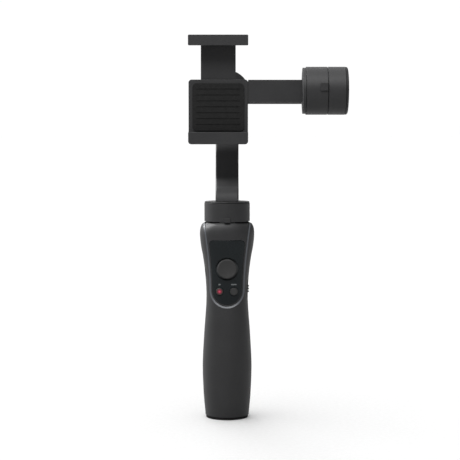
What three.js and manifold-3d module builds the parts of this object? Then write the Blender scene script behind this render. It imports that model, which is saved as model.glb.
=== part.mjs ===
// A handheld three-axis gimbal for a phone: a grip with its controls, three
// brushless motors joined by two arms, and a sprung clamp that holds the phone.
// Millimetres, +Z up, the controls face -Y. The assembly stands centred on the
// origin, on the plane z = 0.
import * as THREE from "three";
import { mergeVertices } from "three/addons/utils/BufferGeometryUtils.js";
import Module from "manifold-3d";

const wasm = await Module();
wasm.setup();

// ---- fits ----
const fit = 0.3; // gap between two separate pieces that touch
const play = 0.35; // gap round a piece that slides

// ---- grip ----
const gripHeight = 152.5;
const gripWall = 2;
const padHeight = 1.5;
const baseRadius = 16.9;
const bulgeHeight = 41.2;
const bulgeHalfWidth = 19.1;
const waistDrop = 58.5; // below the top of the grip
const waistHalfWidth = 16.1;
const waistHalfDepth = 17.5;
const headDrop = 8.9;
const headHalfWidth = 21.1;
const headHalfDepth = 19.5;
const topRadius = 17.2;

// ---- control panel, heights measured down from the top of the grip ----
const skinDepth = 2.2;
const fasciaRise = 2; // how far its outline runs past the top of the grip
const fasciaTopHalf = 17.6;
const fasciaBack = 9; // the fascia stays in front of this depth
const fasciaLowHalf = 12.2;
const fasciaBottomDrop = 64;
const panelTopDrop = 13;
const panelTopHalf = 13.7;
const panelLowHalf = 10.9;
const panelBottomDrop = 62.7;
const panelCorner = 3;
const stickDrop = 35;
const stickRadius = 7.45;
const stickThrow = 1.3; // room round the joystick's disc when it tips
const buttonDrop = 52.5;
const recordX = -5.75;
const recordRadius = 2.7;
const modeX = 5.2;
const modeRadius = 2.9;
const buttonTravel = 0.6;
const zoomDrop = 51.4;
const zoomTravel = 2;

// ---- electronics and battery ----
const boardFront = -8.8;
const boardThickness = 1.2;
const boardHalfWidth = 10.5;
const batteryRadius = 13.1;
const batteryRoom = 3.1; // between the cell and the screw post above it
const batteryY = 0.3;
const socketRadius = 3.175; // quarter-inch tripod thread

// ---- motors ----
const panRadius = 17.63;
const rollRadius = 17.6;
const tiltRadius = 18.1;
const motorWall = 1.6;
const magnetDepth = 1.2;
const airGap = 0.5;
const shaftRadius = 2;
const bearingRadius = 4.2;
const toothCount = 9;
const panRotorHeight = 15.3;
const rollRotorHeight = 8.4;
const rollStatorHeight = 11;
const tiltRotorHeight = 16;
const tiltStatorHeight = 15.2;

// ---- arms and the places of the motors ----
const bladeWidth = 17.9;
const bladeHalf = 3.65;
const coverDepth = 1.6;
const axisHeight = 253.3; // the roll and tilt axes cross at this height
const rollSeamY = 36.7;
const tiltSeamX = 75.9;
const tiltY = -20;
const rollArmX = 84;
const rollArmBend = 25;

// ---- clamp ----
const clampCentreX = -6.7;
const clampWidth = 45.3;
const phoneThickness = 7.7;
const phoneWidth = 71;
const lowerJawTop = 217.2; // the pad face that the phone stands on
const lipThickness = 3;
const lipCorner = 2.4;
const lowerLip = 4.8;
const upperLip = 1.3;
const padThickness = 1.2;
const jawFloor = 2.8;
const clampDepth = 6.4;
const clampWall = 1.8;
const clampTop = 262;
const slideHalfWidth = 13.3;
const slideThickness = 2.4;
const rodRadius = 1;
const rodOffset = 17.3;
const springWire = 0.3;
const springTurns = 5;

// ---- finishes ----
const charcoal = finish(0x3a3b3c, 0.62, 0);
const black = finish(0x1d1e1f, 0.6, 0);
const gloss = finish(0x26292a, 0.22, 0);
const rubber = finish(0x1a1a1a, 0.9, 0);
const red = finish(0xb3232f, 0.4, 0);
const steel = finish(0x9a9da0, 0.35, 1);
const brass = finish(0xb08d4a, 0.35, 1);
const copper = finish(0x9c5a35, 0.45, 1);
const magnet = finish(0x55585c, 0.5, 1);
const board = finish(0x1f4a33, 0.6, 0);
const cellWrap = finish(0x2f5f8a, 0.5, 0);

function finish(color, roughness, metalness) {
  return new THREE.MeshStandardMaterial({ color, roughness, metalness });
}

// ---- solids ----
function signedVolume(points, index) {
  const a = new THREE.Vector3();
  const b = new THREE.Vector3();
  const c = new THREE.Vector3();
  let sum = 0;
  for (let i = 0; i < index.length; i += 3) {
    a.fromArray(points, index[i] * 3);
    b.fromArray(points, index[i + 1] * 3);
    c.fromArray(points, index[i + 2] * 3);
    sum += a.dot(b.cross(c));
  }
  return sum;
}

function solid(geometry) {
  geometry.deleteAttribute("normal");
  geometry.deleteAttribute("uv");
  const merged = mergeVertices(geometry, 1e-4);
  const vertProperties = new Float32Array(merged.attributes.position.array);
  const triVerts = new Uint32Array(merged.index.array);
  if (signedVolume(vertProperties, triVerts) < 0) {
    for (let i = 0; i < triVerts.length; i += 3) {
      [triVerts[i], triVerts[i + 1]] = [triVerts[i + 1], triVerts[i]];
    }
  }
  return new wasm.Manifold(new wasm.Mesh({ numProp: 3, vertProperties, triVerts }));
}

function toGeometry(body) {
  const mesh = body.getMesh();
  const geometry = new THREE.BufferGeometry();
  geometry.setAttribute("position", new THREE.BufferAttribute(mesh.vertProperties, 3));
  geometry.setIndex(new THREE.BufferAttribute(mesh.triVerts, 1));
  geometry.computeVertexNormals();
  return geometry;
}

const join = (first, ...rest) => rest.reduce((body, piece) => body.add(piece), first);
const cut = (first, ...rest) => rest.reduce((body, piece) => body.subtract(piece), first);

function block(x0, x1, y0, y1, z0, z1) {
  const box = new THREE.BoxGeometry(x1 - x0, y1 - y0, z1 - z0);
  return solid(box.translate((x0 + x1) / 2, (y0 + y1) / 2, (z0 + z1) / 2));
}

// A body of revolution about Z from [radius, z] points, closed on itself.
function turned(outline, segments = 40) {
  const points = outline.map(([r, z]) => new THREE.Vector2(r, z));
  points.push(points[0].clone());
  return solid(new THREE.LatheGeometry(points, segments).rotateX(Math.PI / 2));
}

function disc(radius, z0, z1, segments = 40) {
  const post = new THREE.CylinderGeometry(radius, radius, z1 - z0, segments);
  return solid(post.rotateX(Math.PI / 2).translate(0, 0, (z0 + z1) / 2));
}

function ring(inner, outer, z0, z1, segments = 32) {
  return turned([[inner, z0], [outer, z0], [outer, z1], [inner, z1]], segments);
}

// A cylinder along Y, from y0 to y1, through the point (x, z).
function postY(radius, x, z, y0, y1, segments = 24) {
  const post = new THREE.CylinderGeometry(radius, radius, y1 - y0, segments);
  return solid(post.translate(x, (y0 + y1) / 2, z));
}

function postX(radius, y, z, x0, x1, segments = 48) {
  const post = new THREE.CylinderGeometry(radius, radius, x1 - x0, segments);
  return solid(post.rotateZ(Math.PI / 2).translate((x0 + x1) / 2, y, z));
}

// An outline drawn in X and Z, given thickness from y0 to y1.
function frontPlate(shape, y0, y1, steps = 6) {
  const options = { depth: y1 - y0, bevelEnabled: false, curveSegments: steps };
  const plate = new THREE.ExtrudeGeometry(shape, options);
  return solid(plate.rotateX(Math.PI / 2).translate(0, y1, 0));
}

function roundedRect(x0, x1, z0, z1, corner) {
  const shape = new THREE.Shape();
  shape.moveTo(x0 + corner, z0);
  shape.lineTo(x1 - corner, z0);
  shape.absarc(x1 - corner, z0 + corner, corner, -Math.PI / 2, 0);
  shape.absarc(x1 - corner, z1 - corner, corner, 0, Math.PI / 2);
  shape.absarc(x0 + corner, z1 - corner, corner, Math.PI / 2, Math.PI);
  shape.absarc(x0 + corner, z0 + corner, corner, Math.PI, 1.5 * Math.PI);
  return shape;
}

function place(group, name, body, material) {
  const mesh = new THREE.Mesh(toGeometry(body), material);
  mesh.name = name;
  group.add(mesh);
  return mesh;
}

// ---- grip ----
// Half width, half depth and height of the grip's skin, from base to top.
const gripEdge = new THREE.CatmullRomCurve3([
  new THREE.Vector3(baseRadius, baseRadius, padHeight + 0.4),
  new THREE.Vector3(18.3, 18.2, 17.9),
  new THREE.Vector3(bulgeHalfWidth, 19.1, bulgeHeight),
  new THREE.Vector3(18, 18.6, bulgeHeight + 23.3),
  new THREE.Vector3(waistHalfWidth, waistHalfDepth, gripHeight - waistDrop),
  new THREE.Vector3(waistHalfWidth + 0.75, waistHalfDepth + 0.1, gripHeight - 41.5),
  new THREE.Vector3(headHalfWidth - 2.55, headHalfDepth - 1.3, gripHeight - 27.5),
  new THREE.Vector3(headHalfWidth - 0.85, headHalfDepth - 0.6, gripHeight - 18.2),
  new THREE.Vector3(headHalfWidth, headHalfDepth, gripHeight - headDrop),
  new THREE.Vector3(headHalfWidth - 0.5, headHalfDepth - 0.3, gripHeight - 4.2),
  new THREE.Vector3(headHalfWidth - 1.8, headHalfDepth - 1.3, gripHeight - 1.3),
  new THREE.Vector3(topRadius, topRadius, gripHeight),
]).getSpacedPoints(160);

function gripSection(z) {
  const after = Math.max(1, gripEdge.findIndex((point) => point.z >= z));
  const low = gripEdge[after - 1];
  const high = gripEdge[after];
  const share = THREE.MathUtils.clamp((z - low.z) / (high.z - low.z), 0, 1);
  return new THREE.Vector3().lerpVectors(low, high, share);
}

// How square the section is at a height: 2 is an ellipse.
function squareness(z) {
  const swell = 0.4 * THREE.MathUtils.smoothstep(z, 20, gripHeight - waistDrop);
  const ease = 0.3 * THREE.MathUtils.smoothstep(z, gripHeight - headDrop, gripHeight);
  return 2 + swell - ease;
}

// The grip's outer form, drawn in by an inset, between two heights.
function gripForm(inset, z0, z1, around = 32, along = 16) {
  const points = [new THREE.Vector2(0, z0)];
  for (let i = 0; i <= along; i += 1) {
    // Closer rings near the top, where the shoulder turns in.
    const t = Math.sin(((i / along) * Math.PI) / 2);
    const z = z0 + (z1 - z0) * t;
    points.push(new THREE.Vector2(gripSection(z).x - inset, z));
  }
  points.push(new THREE.Vector2(0, z1));
  const form = new THREE.LatheGeometry(points, around).rotateX(Math.PI / 2);
  const spots = form.attributes.position;
  for (let i = 0; i < spots.count; i += 1) {
    const z = spots.getZ(i);
    const radius = Math.hypot(spots.getX(i), spots.getY(i));
    if (radius < 0.001) continue;
    const power = 2 / squareness(z);
    const c = spots.getX(i) / radius;
    const s = spots.getY(i) / radius;
    const depth = gripSection(z).y - inset;
    spots.setX(i, radius * Math.sign(c) * Math.abs(c) ** power);
    spots.setY(i, depth * Math.sign(s) * Math.abs(s) ** power);
  }
  return solid(form);
}

const gripBottom = padHeight + 0.5;
const gripOuter = gripForm(0, gripBottom, gripHeight);
const gripInner = gripForm(gripWall, gripBottom - 1, gripHeight - gripWall);
const gripSkin = cut(gripOuter, gripForm(skinDepth, gripBottom, gripHeight - gripWall));
const far = 40; // past every face of the grip

// The U-shaped outline of the fascia or panel, grown or drawn in by a margin.
function shield(topDrop, topHalf, lowHalf, bottomDrop, corner, margin) {
  const top = gripHeight - topDrop + margin;
  const bottom = gripHeight - bottomDrop - margin;
  const wide = topHalf + margin;
  const low = lowHalf + margin;
  const round = corner + margin;
  const springing = bottom + low;
  const bend = THREE.MathUtils.lerp(springing, top, 0.42);
  const shape = new THREE.Shape();
  shape.moveTo(-wide + round, top);
  shape.quadraticCurveTo(-wide, top, -wide + 0.16 * round, top - round);
  shape.quadraticCurveTo(-low - 0.3, bend, -low, springing);
  shape.absarc(0, springing, low, Math.PI, 2 * Math.PI);
  shape.quadraticCurveTo(low + 0.3, bend, wide - 0.16 * round, top - round);
  shape.quadraticCurveTo(wide, top, wide - round, top);
  return shape;
}

const fasciaShape = (margin) =>
  shield(-fasciaRise, fasciaTopHalf, fasciaLowHalf, fasciaBottomDrop, 2, margin);
const panelShape = (margin) =>
  shield(panelTopDrop, panelTopHalf, panelLowHalf, panelBottomDrop, panelCorner, margin);

const stickZ = gripHeight - stickDrop;
const buttonZ = gripHeight - buttonDrop;
const zoomZ = gripHeight - zoomDrop;
const boardBack = boardFront + boardThickness;
const lowScrewZ = gripHeight - 69.5;
const highScrewZ = gripHeight - 21.5;
const screwHead = 1.9;
const screwShank = 1;
const postRadius = 2.6;
const portHalfHeight = 4.5;
const portHalfDepth = 1.6;
const portY = boardBack + fit + portHalfDepth;
const portZ = gripHeight - 40.5;
const zoomY = -4.7;
const zoomHalfDepth = 2.2;
const zoomHalfHeight = 4.2;
const necks = { radius: bearingRadius + fit + 1.7 };

function gripFrontShell() {
  const front = block(-far, far, -far, -fit / 2, 0, gripHeight + 1);
  const shell = cut(gripOuter, gripInner).intersect(front);
  const post = postY(postRadius, 0, lowScrewZ, -waistHalfDepth, -fit / 2).intersect(gripOuter);
  const slot = block(
    0, far,
    zoomY - zoomHalfDepth - play, zoomY + zoomHalfDepth + play,
    zoomZ - zoomHalfHeight - zoomTravel - play, zoomZ + zoomHalfHeight + zoomTravel + play,
  );
  const port = block(
    -far, 0,
    portY - portHalfDepth - fit, portY + portHalfDepth + fit,
    portZ - portHalfHeight - fit, portZ + portHalfHeight + fit,
  );
  return cut(
    join(shell, post),
    frontPlate(fasciaShape(fit), -far, fit - fasciaBack),
    disc(necks.radius + fit, gripHeight - 5, gripHeight + 1),
    postY(screwShank + fit, 0, lowScrewZ, -8, 1),
    slot,
    port,
  );
}

function gripRearShell() {
  const rear = block(-far, far, fit / 2, far, 0, gripHeight + 1);
  const shell = cut(gripOuter, gripInner).intersect(rear);
  const posts = join(
    postY(postRadius, 0, lowScrewZ, fit / 2, waistHalfDepth),
    postY(postRadius, 0, highScrewZ, boardBack + fit, headHalfDepth),
  ).intersect(gripOuter);
  const holes = [lowScrewZ, highScrewZ].flatMap((z) => [
    postY(screwHead + fit, 0, z, gripSection(z).y - 2.6, far),
    postY(screwShank + fit, 0, z, -3, far),
  ]);
  const neck = disc(necks.radius + fit, gripHeight - 5, gripHeight + 1);
  return cut(join(shell, posts), neck, ...holes);
}

function gripScrew(z) {
  const seat = gripSection(z).y - 2.6 + fit;
  const head = postY(screwHead, 0, z, seat, seat + 1.4);
  const shank = postY(screwShank, 0, z, -2.5, seat + 0.2);
  const hex = new THREE.CylinderGeometry(0.9, 0.9, 1.6, 6).translate(0, seat + 1.6, z);
  return cut(join(head, shank), solid(hex));
}

function controlFascia() {
  const outline = frontPlate(fasciaShape(0), -far, -fasciaBack);
  return cut(gripSkin.intersect(outline), frontPlate(panelShape(fit), -far, 0));
}

function controlPanel() {
  const outline = frontPlate(panelShape(0), -far, -2);
  return cut(
    gripSkin.intersect(outline),
    postY(stickRadius + stickThrow, 0, stickZ, -far, 0, 36),
    postY(recordRadius + play, recordX, buttonZ, -far, 0),
    postY(modeRadius + play, modeX, buttonZ, -far, 0),
  );
}

// ---- controls ----
const stickPivotY = boardFront - 3.3;
const stickFace = -gripSection(stickZ).y - 1;
const stickBallRadius = 1.7;
const yokeRadius = 3.9;

function joystickBase() {
  const half = 6.5;
  const body = block(
    -half, half, stickPivotY - 1.7, boardFront - fit, stickZ - half, stickZ + half,
  );
  return cut(body, postY(yokeRadius + 1, 0, stickZ, -far, stickPivotY + 2.1));
}

function joystickYoke() {
  const half = 0.7;
  const outer = postY(yokeRadius, 0, stickZ, stickPivotY - half, stickPivotY + half);
  const hole = postY(stickBallRadius + fit, 0, stickZ, -far, far);
  return cut(outer, hole);
}

function joystickCap() {
  const profile = [
    [0, stickFace + 2], [stickRadius - 0.9, stickFace + 2], [stickRadius, stickFace + 1.2],
    [stickRadius, stickFace + 0.7], [stickRadius - 0.7, stickFace], [stickRadius - 1.6, stickFace + 0.2],
    [0, stickFace + 0.7],
  ];
  const points = profile.map(([r, y]) => new THREE.Vector2(r, y));
  const top = solid(new THREE.LatheGeometry(points, 32).translate(0, 0, stickZ));
  const stem = postY(1.2, 0, stickZ, stickFace + 1.8, stickPivotY, 16);
  const ball = solid(new THREE.SphereGeometry(stickBallRadius, 12, 8).translate(0, stickPivotY, stickZ));
  return join(top, stem, ball);
}

const switchFace = boardFront - 1.9;
const buttonFace = -waistHalfDepth + 0.1;

function pushButton(x, radius) {
  const edge = 0.4;
  const points = [
    [0, buttonFace + 3], [radius, buttonFace + 3], [radius, buttonFace + edge],
    [radius - edge, buttonFace], [0, buttonFace],
  ].map(([r, y]) => new THREE.Vector2(r, y));
  const cap = solid(new THREE.LatheGeometry(points, 28).translate(x, 0, buttonZ));
  const stem = postY(1.2, x, buttonZ, buttonFace + 2.8, switchFace - buttonTravel - 0.1, 16);
  return join(cap, stem);
}

function pushSwitch(x) {
  const half = 2.4;
  return block(x - half, x + half, switchFace, boardFront - fit, buttonZ - half, buttonZ + half);
}

const zoomFace = gripSection(zoomZ).x;
const flangeX = boardHalfWidth + 0.7;

function zoomSlider() {
  const knob = block(
    flangeX, zoomFace - 0.1,
    zoomY - zoomHalfDepth, zoomY + zoomHalfDepth,
    zoomZ - zoomHalfHeight, zoomZ + zoomHalfHeight,
  );
  const reach = zoomHalfHeight + zoomTravel + 0.3;
  const flange = block(
    flangeX, flangeX + 1.2, zoomY - zoomHalfDepth - 0.5, zoomY + zoomHalfDepth + 1,
    zoomZ - reach, zoomZ + reach,
  );
  const pitch = 2.05;
  const ribs = [-1, 0, 1].map((step) => {
    const rib = new THREE.CylinderGeometry(0.75, 0.75, 2 * zoomHalfDepth, 12);
    return solid(rib.translate(zoomFace, zoomY, zoomZ + step * pitch));
  });
  return join(knob, flange, ...ribs);
}

function zoomSwitch() {
  return block(
    6, flangeX - fit, boardBack + fit, zoomY + zoomHalfDepth, zoomZ - 4, zoomZ + 4,
  );
}

function circuitBoard() {
  const shape = roundedRect(
    -boardHalfWidth, boardHalfWidth, buttonZ - 13.5, stickZ + 19, 1.5,
  );
  return frontPlate(shape, boardFront, boardBack);
}

function chargePort() {
  const depth = gripSection(portZ).x - 0.9;
  const inner = boardHalfWidth - 2;
  const shell = block(
    -depth, -inner, portY - portHalfDepth, portY + portHalfDepth,
    portZ - portHalfHeight, portZ + portHalfHeight,
  );
  const mouth = block(
    -depth - 1, -inner - 1, portY - portHalfDepth + 0.4, portY + portHalfDepth - 0.4,
    portZ - portHalfHeight + 0.4, portZ + portHalfHeight - 0.4,
  );
  const tongue = block(-depth + 0.8, -inner - 0.5, portY - 0.35, portY + 0.35, portZ - 3.3, portZ + 3.3);
  return join(cut(shell, mouth), tongue);
}

// ---- base and battery ----
const socketTop = 10.5;
const trayBottom = socketTop + fit;
const capRadius = gripSection(8).x - gripWall - 1.2;
const trayFloor = 1.2;
const cellBottom = trayBottom + trayFloor + fit;
const cellTop = lowScrewZ - postRadius - batteryRoom;
const trayTop = cellTop - 5.5;

function basePad() {
  const round = 0.6;
  return turned([
    [socketRadius + 1, 0], [baseRadius - 0.5 - round, 0], [baseRadius - 0.5, round],
    [baseRadius - 0.5, padHeight], [socketRadius + 1, padHeight],
  ]);
}

function baseCap() {
  const insertRadius = socketRadius + 1.5 + fit;
  return turned([
    [insertRadius, padHeight + fit], [capRadius, padHeight + fit], [capRadius, 8],
    [capRadius - 1.8, 8], [capRadius - 1.8, 4], [insertRadius + 2.2, 4],
    [insertRadius + 2.2, socketTop], [insertRadius, socketTop],
  ]);
}

function tripodInsert() {
  return ring(socketRadius, socketRadius + 1.5, padHeight + fit, socketTop - 0.5, 32);
}

function batteryTray() {
  const inner = batteryRadius + fit;
  const outer = inner + 1.2;
  const cup = ring(inner, outer, trayBottom, trayTop, 40);
  const floor = disc(outer, trayBottom, trayBottom + trayFloor, 40);
  const open = block(-far, far, -far, -2, trayBottom + trayFloor, trayTop + 1);
  return cut(join(cup, floor), open).translate([0, batteryY, 0]);
}

function batteryCell() {
  const shape = turned([
    [0, cellBottom], [batteryRadius - 0.5, cellBottom], [batteryRadius, cellBottom + 0.5],
    [batteryRadius, cellTop - 1.5], [batteryRadius - 0.5, cellTop - 1], [3, cellTop - 1],
    [3, cellTop], [0, cellTop],
  ], 40);
  return shape.translate([0, batteryY, 0]);
}

// ---- motors: local +Z points from the stator's side to the rotor's ----
const magnetOuter = (radius) => radius - motorWall - fit;
const coreOuter = (radius) => magnetOuter(radius) - magnetDepth - airGap;

function rotorHousing(radius, z0, height) {
  const top = z0 + height;
  const inner = radius - motorWall;
  const round = 0.6;
  return turned([
    [shaftRadius + fit, top], [shaftRadius + fit, top - 2], [inner, top - 2], [inner, z0],
    [radius - round, z0], [radius, z0 + round], [radius, top - round], [radius - round, top],
  ]);
}

function statorHousing(radius, z0, height, neckTop) {
  const bottom = z0 - height;
  const inner = radius - motorWall;
  const round = 0.6;
  return turned([
    [bearingRadius + fit, bottom + 1], [bearingRadius + fit, neckTop], [necks.radius, neckTop],
    [necks.radius, bottom + 2], [inner, bottom + 2], [inner, z0], [radius - round, z0],
    [radius, z0 - round], [radius, bottom + round], [radius - round, bottom],
    [shaftRadius + fit, bottom], [shaftRadius + fit, bottom + 1],
  ]);
}

function magnetRing(radius, z0, length) {
  const outer = magnetOuter(radius);
  return ring(outer - magnetDepth, outer, z0, z0 + length);
}

function statorCore(radius, z0, length) {
  const outer = coreOuter(radius);
  const head = outer - 1.3;
  const root = necks.radius + fit + 1.5;
  const shape = new THREE.Shape();
  const rim = [
    [root, -6], [head, -6], [head, -14], [outer, -14],
    [outer, 14], [head, 14], [head, 6], [root, 6],
  ];
  const turn = (2 * Math.PI) / toothCount;
  const spots = [];
  for (let i = 0; i < toothCount; i += 1) {
    for (const [r, degrees] of rim) {
      const angle = i * turn + THREE.MathUtils.degToRad(degrees);
      spots.push(new THREE.Vector2(r * Math.cos(angle), r * Math.sin(angle)));
    }
  }
  shape.setFromPoints(spots);
  const bore = new THREE.Path();
  bore.absarc(0, 0, necks.radius + fit, 0, 2 * Math.PI);
  shape.holes.push(bore);
  const options = { depth: length, bevelEnabled: false, curveSegments: 10 };
  return solid(new THREE.ExtrudeGeometry(shape, options).translate(0, 0, z0));
}

function bearing(z0, z1) {
  return ring(shaftRadius + fit, bearingRadius, z0, z1, 32);
}

function shaft(z0, z1) {
  return disc(shaftRadius, z0, z1, 32);
}

// A small raised tab on the rim of a rotor, on the side that local -Y faces.
function indexTab(radius, width, z0, z1, lead) {
  const body = block(-width / 2, width / 2, -radius - lead, -radius + 2, z0, z1);
  return cut(body, disc(radius + fit, z0 - 1, z1 + 1, 96));
}

const panRotorStart = 0.8;
const panRotorTop = panRotorStart + panRotorHeight;
const panCoverDepth = 0.8;

function panStatorMount() {
  const flangeTop = gripHeight - gripWall - fit;
  return turned([
    [bearingRadius + fit, flangeTop - 2.2], [12.5, flangeTop - 2.2], [12.5, flangeTop],
    [necks.radius, flangeTop], [necks.radius, gripHeight + 10.5],
    [bearingRadius + fit, gripHeight + 10.5],
  ]);
}

// ---- arms: a strip that follows a path, between two offsets to its left ----
function stripShape(path, steps, low, high) {
  const left = [];
  const right = [];
  for (let i = 0; i <= steps; i += 1) {
    const t = i / steps;
    const point = path.getPointAt(t);
    const tangent = path.getTangentAt(t);
    const side = new THREE.Vector2(-tangent.y, tangent.x);
    left.push(point.clone().addScaledVector(side, high(t)));
    right.unshift(point.clone().addScaledVector(side, low(t)));
  }
  return new THREE.Shape([...left, ...right]);
}

function strip(path, steps, low, high, width, edge) {
  const options = {
    depth: width - 2 * edge, bevelEnabled: true, bevelThickness: edge, bevelSize: edge,
    bevelOffset: -edge, bevelSegments: 1, curveSegments: 1,
  };
  const shape = stripShape(path, steps, low, high);
  return new THREE.ExtrudeGeometry(shape, options).translate(0, 0, edge - width / 2);
}

// The pan arm's centre line in Y and Z: up from the motor, back, and up again.
const panSeat = gripHeight + panRotorTop + fit;
const panPath = new THREE.SplineCurve([
  new THREE.Vector2(2, panSeat - 7),
  new THREE.Vector2(3.5, panSeat),
  new THREE.Vector2(8, gripHeight + 23.5),
  new THREE.Vector2(12.6, gripHeight + 32.5),
  new THREE.Vector2(16, gripHeight + 44.5),
  new THREE.Vector2(19, axisHeight - 46.3),
  new THREE.Vector2(26, axisHeight - 38.3),
  new THREE.Vector2(rollSeamY - 2.7, axisHeight - 31.8),
  new THREE.Vector2(rollSeamY + 3.8, axisHeight - 23.3),
  new THREE.Vector2(rollSeamY + 6, axisHeight - 12.5),
]);
const footSpread = 7.4;
const footSwell = (t) => footSpread * (1 - THREE.MathUtils.smoothstep(t, 0.07, 0.3));
const rearFace = (t) => -bladeHalf - footSwell(t);

function panStrip(low, high, width, edge) {
  // Turned from the drawing plane so that it lies in Y and Z.
  const blade = strip(panPath, 20, low, high, width, edge);
  blade.applyMatrix4(new THREE.Matrix4().makeBasis(
    new THREE.Vector3(0, 1, 0), new THREE.Vector3(0, 0, 1), new THREE.Vector3(1, 0, 0),
  ));
  const housing = postY(rollRadius + fit, 0, axisHeight, rollSeamY - 12, far * 2, 96);
  return cut(solid(blade), housing, block(-far, far, -far, far, 0, panSeat));
}

function panArm() {
  const rear = (t) => rearFace(t) + coverDepth + fit;
  return panStrip(rear, (t) => bladeHalf + footSwell(t), bladeWidth, 1.2);
}

function panArmCover() {
  return panStrip(rearFace, (t) => rearFace(t) + coverDepth, bladeWidth - 1, 0.4);
}

// The roll arm's centre line in X and Y: out behind the phone, then forward.
const rollArmY = rollSeamY - fit - 0.5 - bladeHalf;
const rollPath = new THREE.CurvePath();
rollPath.add(new THREE.LineCurve(
  new THREE.Vector2(rollRadius - 4, rollArmY),
  new THREE.Vector2(rollArmX - rollArmBend, rollArmY),
));
rollPath.add(new THREE.EllipseCurve(
  rollArmX - rollArmBend, rollArmY - rollArmBend, rollArmBend, rollArmBend, Math.PI / 2, 0, true,
));
rollPath.add(new THREE.LineCurve(
  new THREE.Vector2(rollArmX, rollArmY - rollArmBend),
  new THREE.Vector2(rollArmX, tiltY + tiltRadius - 5),
));

function rollStrip(low, high, width, edge) {
  const blade = solid(strip(rollPath, 22, low, high, width, edge).translate(0, 0, axisHeight));
  return cut(
    blade,
    postY(rollRadius + fit, 0, axisHeight, -far, far * 2, 96),
    postX(tiltRadius + fit, tiltY, axisHeight, 0, rollArmX + far, 96),
  );
}

const rollArm = () => rollStrip(
  () => -bladeHalf, () => bladeHalf - coverDepth - fit, bladeWidth, 1.2,
);
const rollArmCover = () => rollStrip(
  () => bladeHalf - coverDepth, () => bladeHalf, bladeWidth - 1, 0.4,
);

// ---- clamp ----
const clampLeft = clampCentreX - clampWidth / 2;
const clampRight = clampCentreX + clampWidth / 2;
const phoneBack = tiltY + phoneThickness / 2;
const phoneFront = tiltY - phoneThickness / 2;
const plateFront = phoneBack + padThickness;
const plateBack = plateFront + clampDepth;
const lipBack = phoneFront - 0.65;
const lipFront = lipBack - lipThickness;
const lowerFloor = lowerJawTop - padThickness - fit - jawFloor;
const upperJawBottom = lowerJawTop + phoneWidth + fit;
const upperFloor = upperJawBottom + padThickness + fit;
const upperTop = upperFloor + 5.1;
const cavityFront = plateFront + clampWall;
const cavityBottom = lowerFloor + jawFloor + 1.5;
const cavityTop = clampTop - clampWall;
const rodY = (cavityFront + plateBack) / 2;
const slideFront = cavityFront + play;
const footBottom = cavityBottom + 16;
const footTop = footBottom + 4;
const coverPlate = 1.5;
const coverScrew = { radius: 1.5, shank: 0.8 };
const coverScrewZ = lowerFloor + 2.2;

function clampBody() {
  const lip = roundedRect(clampLeft, clampRight, lowerFloor, lowerJawTop + lowerLip, lipCorner);
  const plate = roundedRect(clampLeft, clampRight, lowerFloor, clampTop, lipCorner);
  const floor = block(
    clampLeft + lipCorner, clampRight - lipCorner, lipFront + 1, plateFront + 1,
    lowerFloor, lowerFloor + jawFloor,
  );
  const cavity = block(
    clampLeft + clampWall, clampRight - clampWall, cavityFront, far, cavityBottom, cavityTop,
  );
  const slot = block(
    clampCentreX - slideHalfWidth - play, clampCentreX + slideHalfWidth + play,
    cavityFront, slideFront + slideThickness + play, cavityTop - 1, clampTop + 1,
  );
  const rods = [-rodOffset, rodOffset].map((x) => {
    const hole = disc(rodRadius + fit, cavityBottom - 1, cavityTop + 1, 20);
    return hole.translate([clampCentreX + x, rodY, 0]);
  });
  return cut(
    join(frontPlate(lip, lipFront, lipBack), floor, frontPlate(plate, plateFront, plateBack)),
    cavity,
    slot,
    postY(coverScrew.shank + fit, clampCentreX, coverScrewZ, plateBack - 3, plateBack + 1, 16),
    ...rods,
  );
}

function clampBackCover() {
  const edge = 0.3;
  const shape = roundedRect(
    clampLeft + edge, clampRight - edge, lowerFloor + edge, clampTop - edge, lipCorner,
  );
  const outer = plateBack + fit + coverPlate;
  return cut(
    frontPlate(shape, plateBack + fit, outer),
    postY(coverScrew.shank + fit, clampCentreX, coverScrewZ, plateBack, far, 16),
    postY(coverScrew.radius + fit, clampCentreX, coverScrewZ, outer - 1, far, 20),
  );
}

function coverScrewBody() {
  const seat = plateBack + coverPlate - 1 + 2 * fit;
  return join(
    postY(coverScrew.radius, clampCentreX, coverScrewZ, seat, seat + 0.6, 20),
    postY(coverScrew.shank, clampCentreX, coverScrewZ, plateBack - 2.6, seat + 0.2, 16),
  );
}

function jawPad(z0, z1) {
  return block(clampLeft + 1.5, clampRight - 1.5, lipBack + 0.4, plateFront - fit, z0, z1);
}

function backPad() {
  const shape = roundedRect(clampLeft + 3, clampRight - 3, lowerJawTop + 6, clampTop - 3, 3);
  return frontPlate(shape, phoneBack + 0.2, plateFront - fit);
}

function upperJaw() {
  const lip = roundedRect(clampLeft, clampRight, upperJawBottom - upperLip, upperTop, lipCorner);
  const top = block(
    clampLeft + lipCorner, clampRight - lipCorner, lipFront + 1, plateBack,
    upperFloor, upperTop - 1.5,
  );
  const slide = block(
    clampCentreX - slideHalfWidth, clampCentreX + slideHalfWidth,
    slideFront, slideFront + slideThickness, footBottom, upperFloor + 1,
  );
  const reach = rodOffset + 2.6;
  const foot = block(
    clampCentreX - reach, clampCentreX + reach, slideFront, plateBack - play,
    footBottom, footTop,
  );
  const holes = [-rodOffset, rodOffset].map((x) => {
    const hole = disc(rodRadius + fit, footBottom - 1, footTop + 1, 20);
    return hole.translate([clampCentreX + x, rodY, 0]);
  });
  return cut(join(frontPlate(lip, lipFront, lipBack), top, slide, foot), ...holes);
}

function guideRod(side) {
  const rod = disc(rodRadius, cavityBottom - 1 + fit, cavityTop + 1 - fit, 20);
  return rod.translate([clampCentreX + side * rodOffset, rodY, 0]);
}

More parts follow.
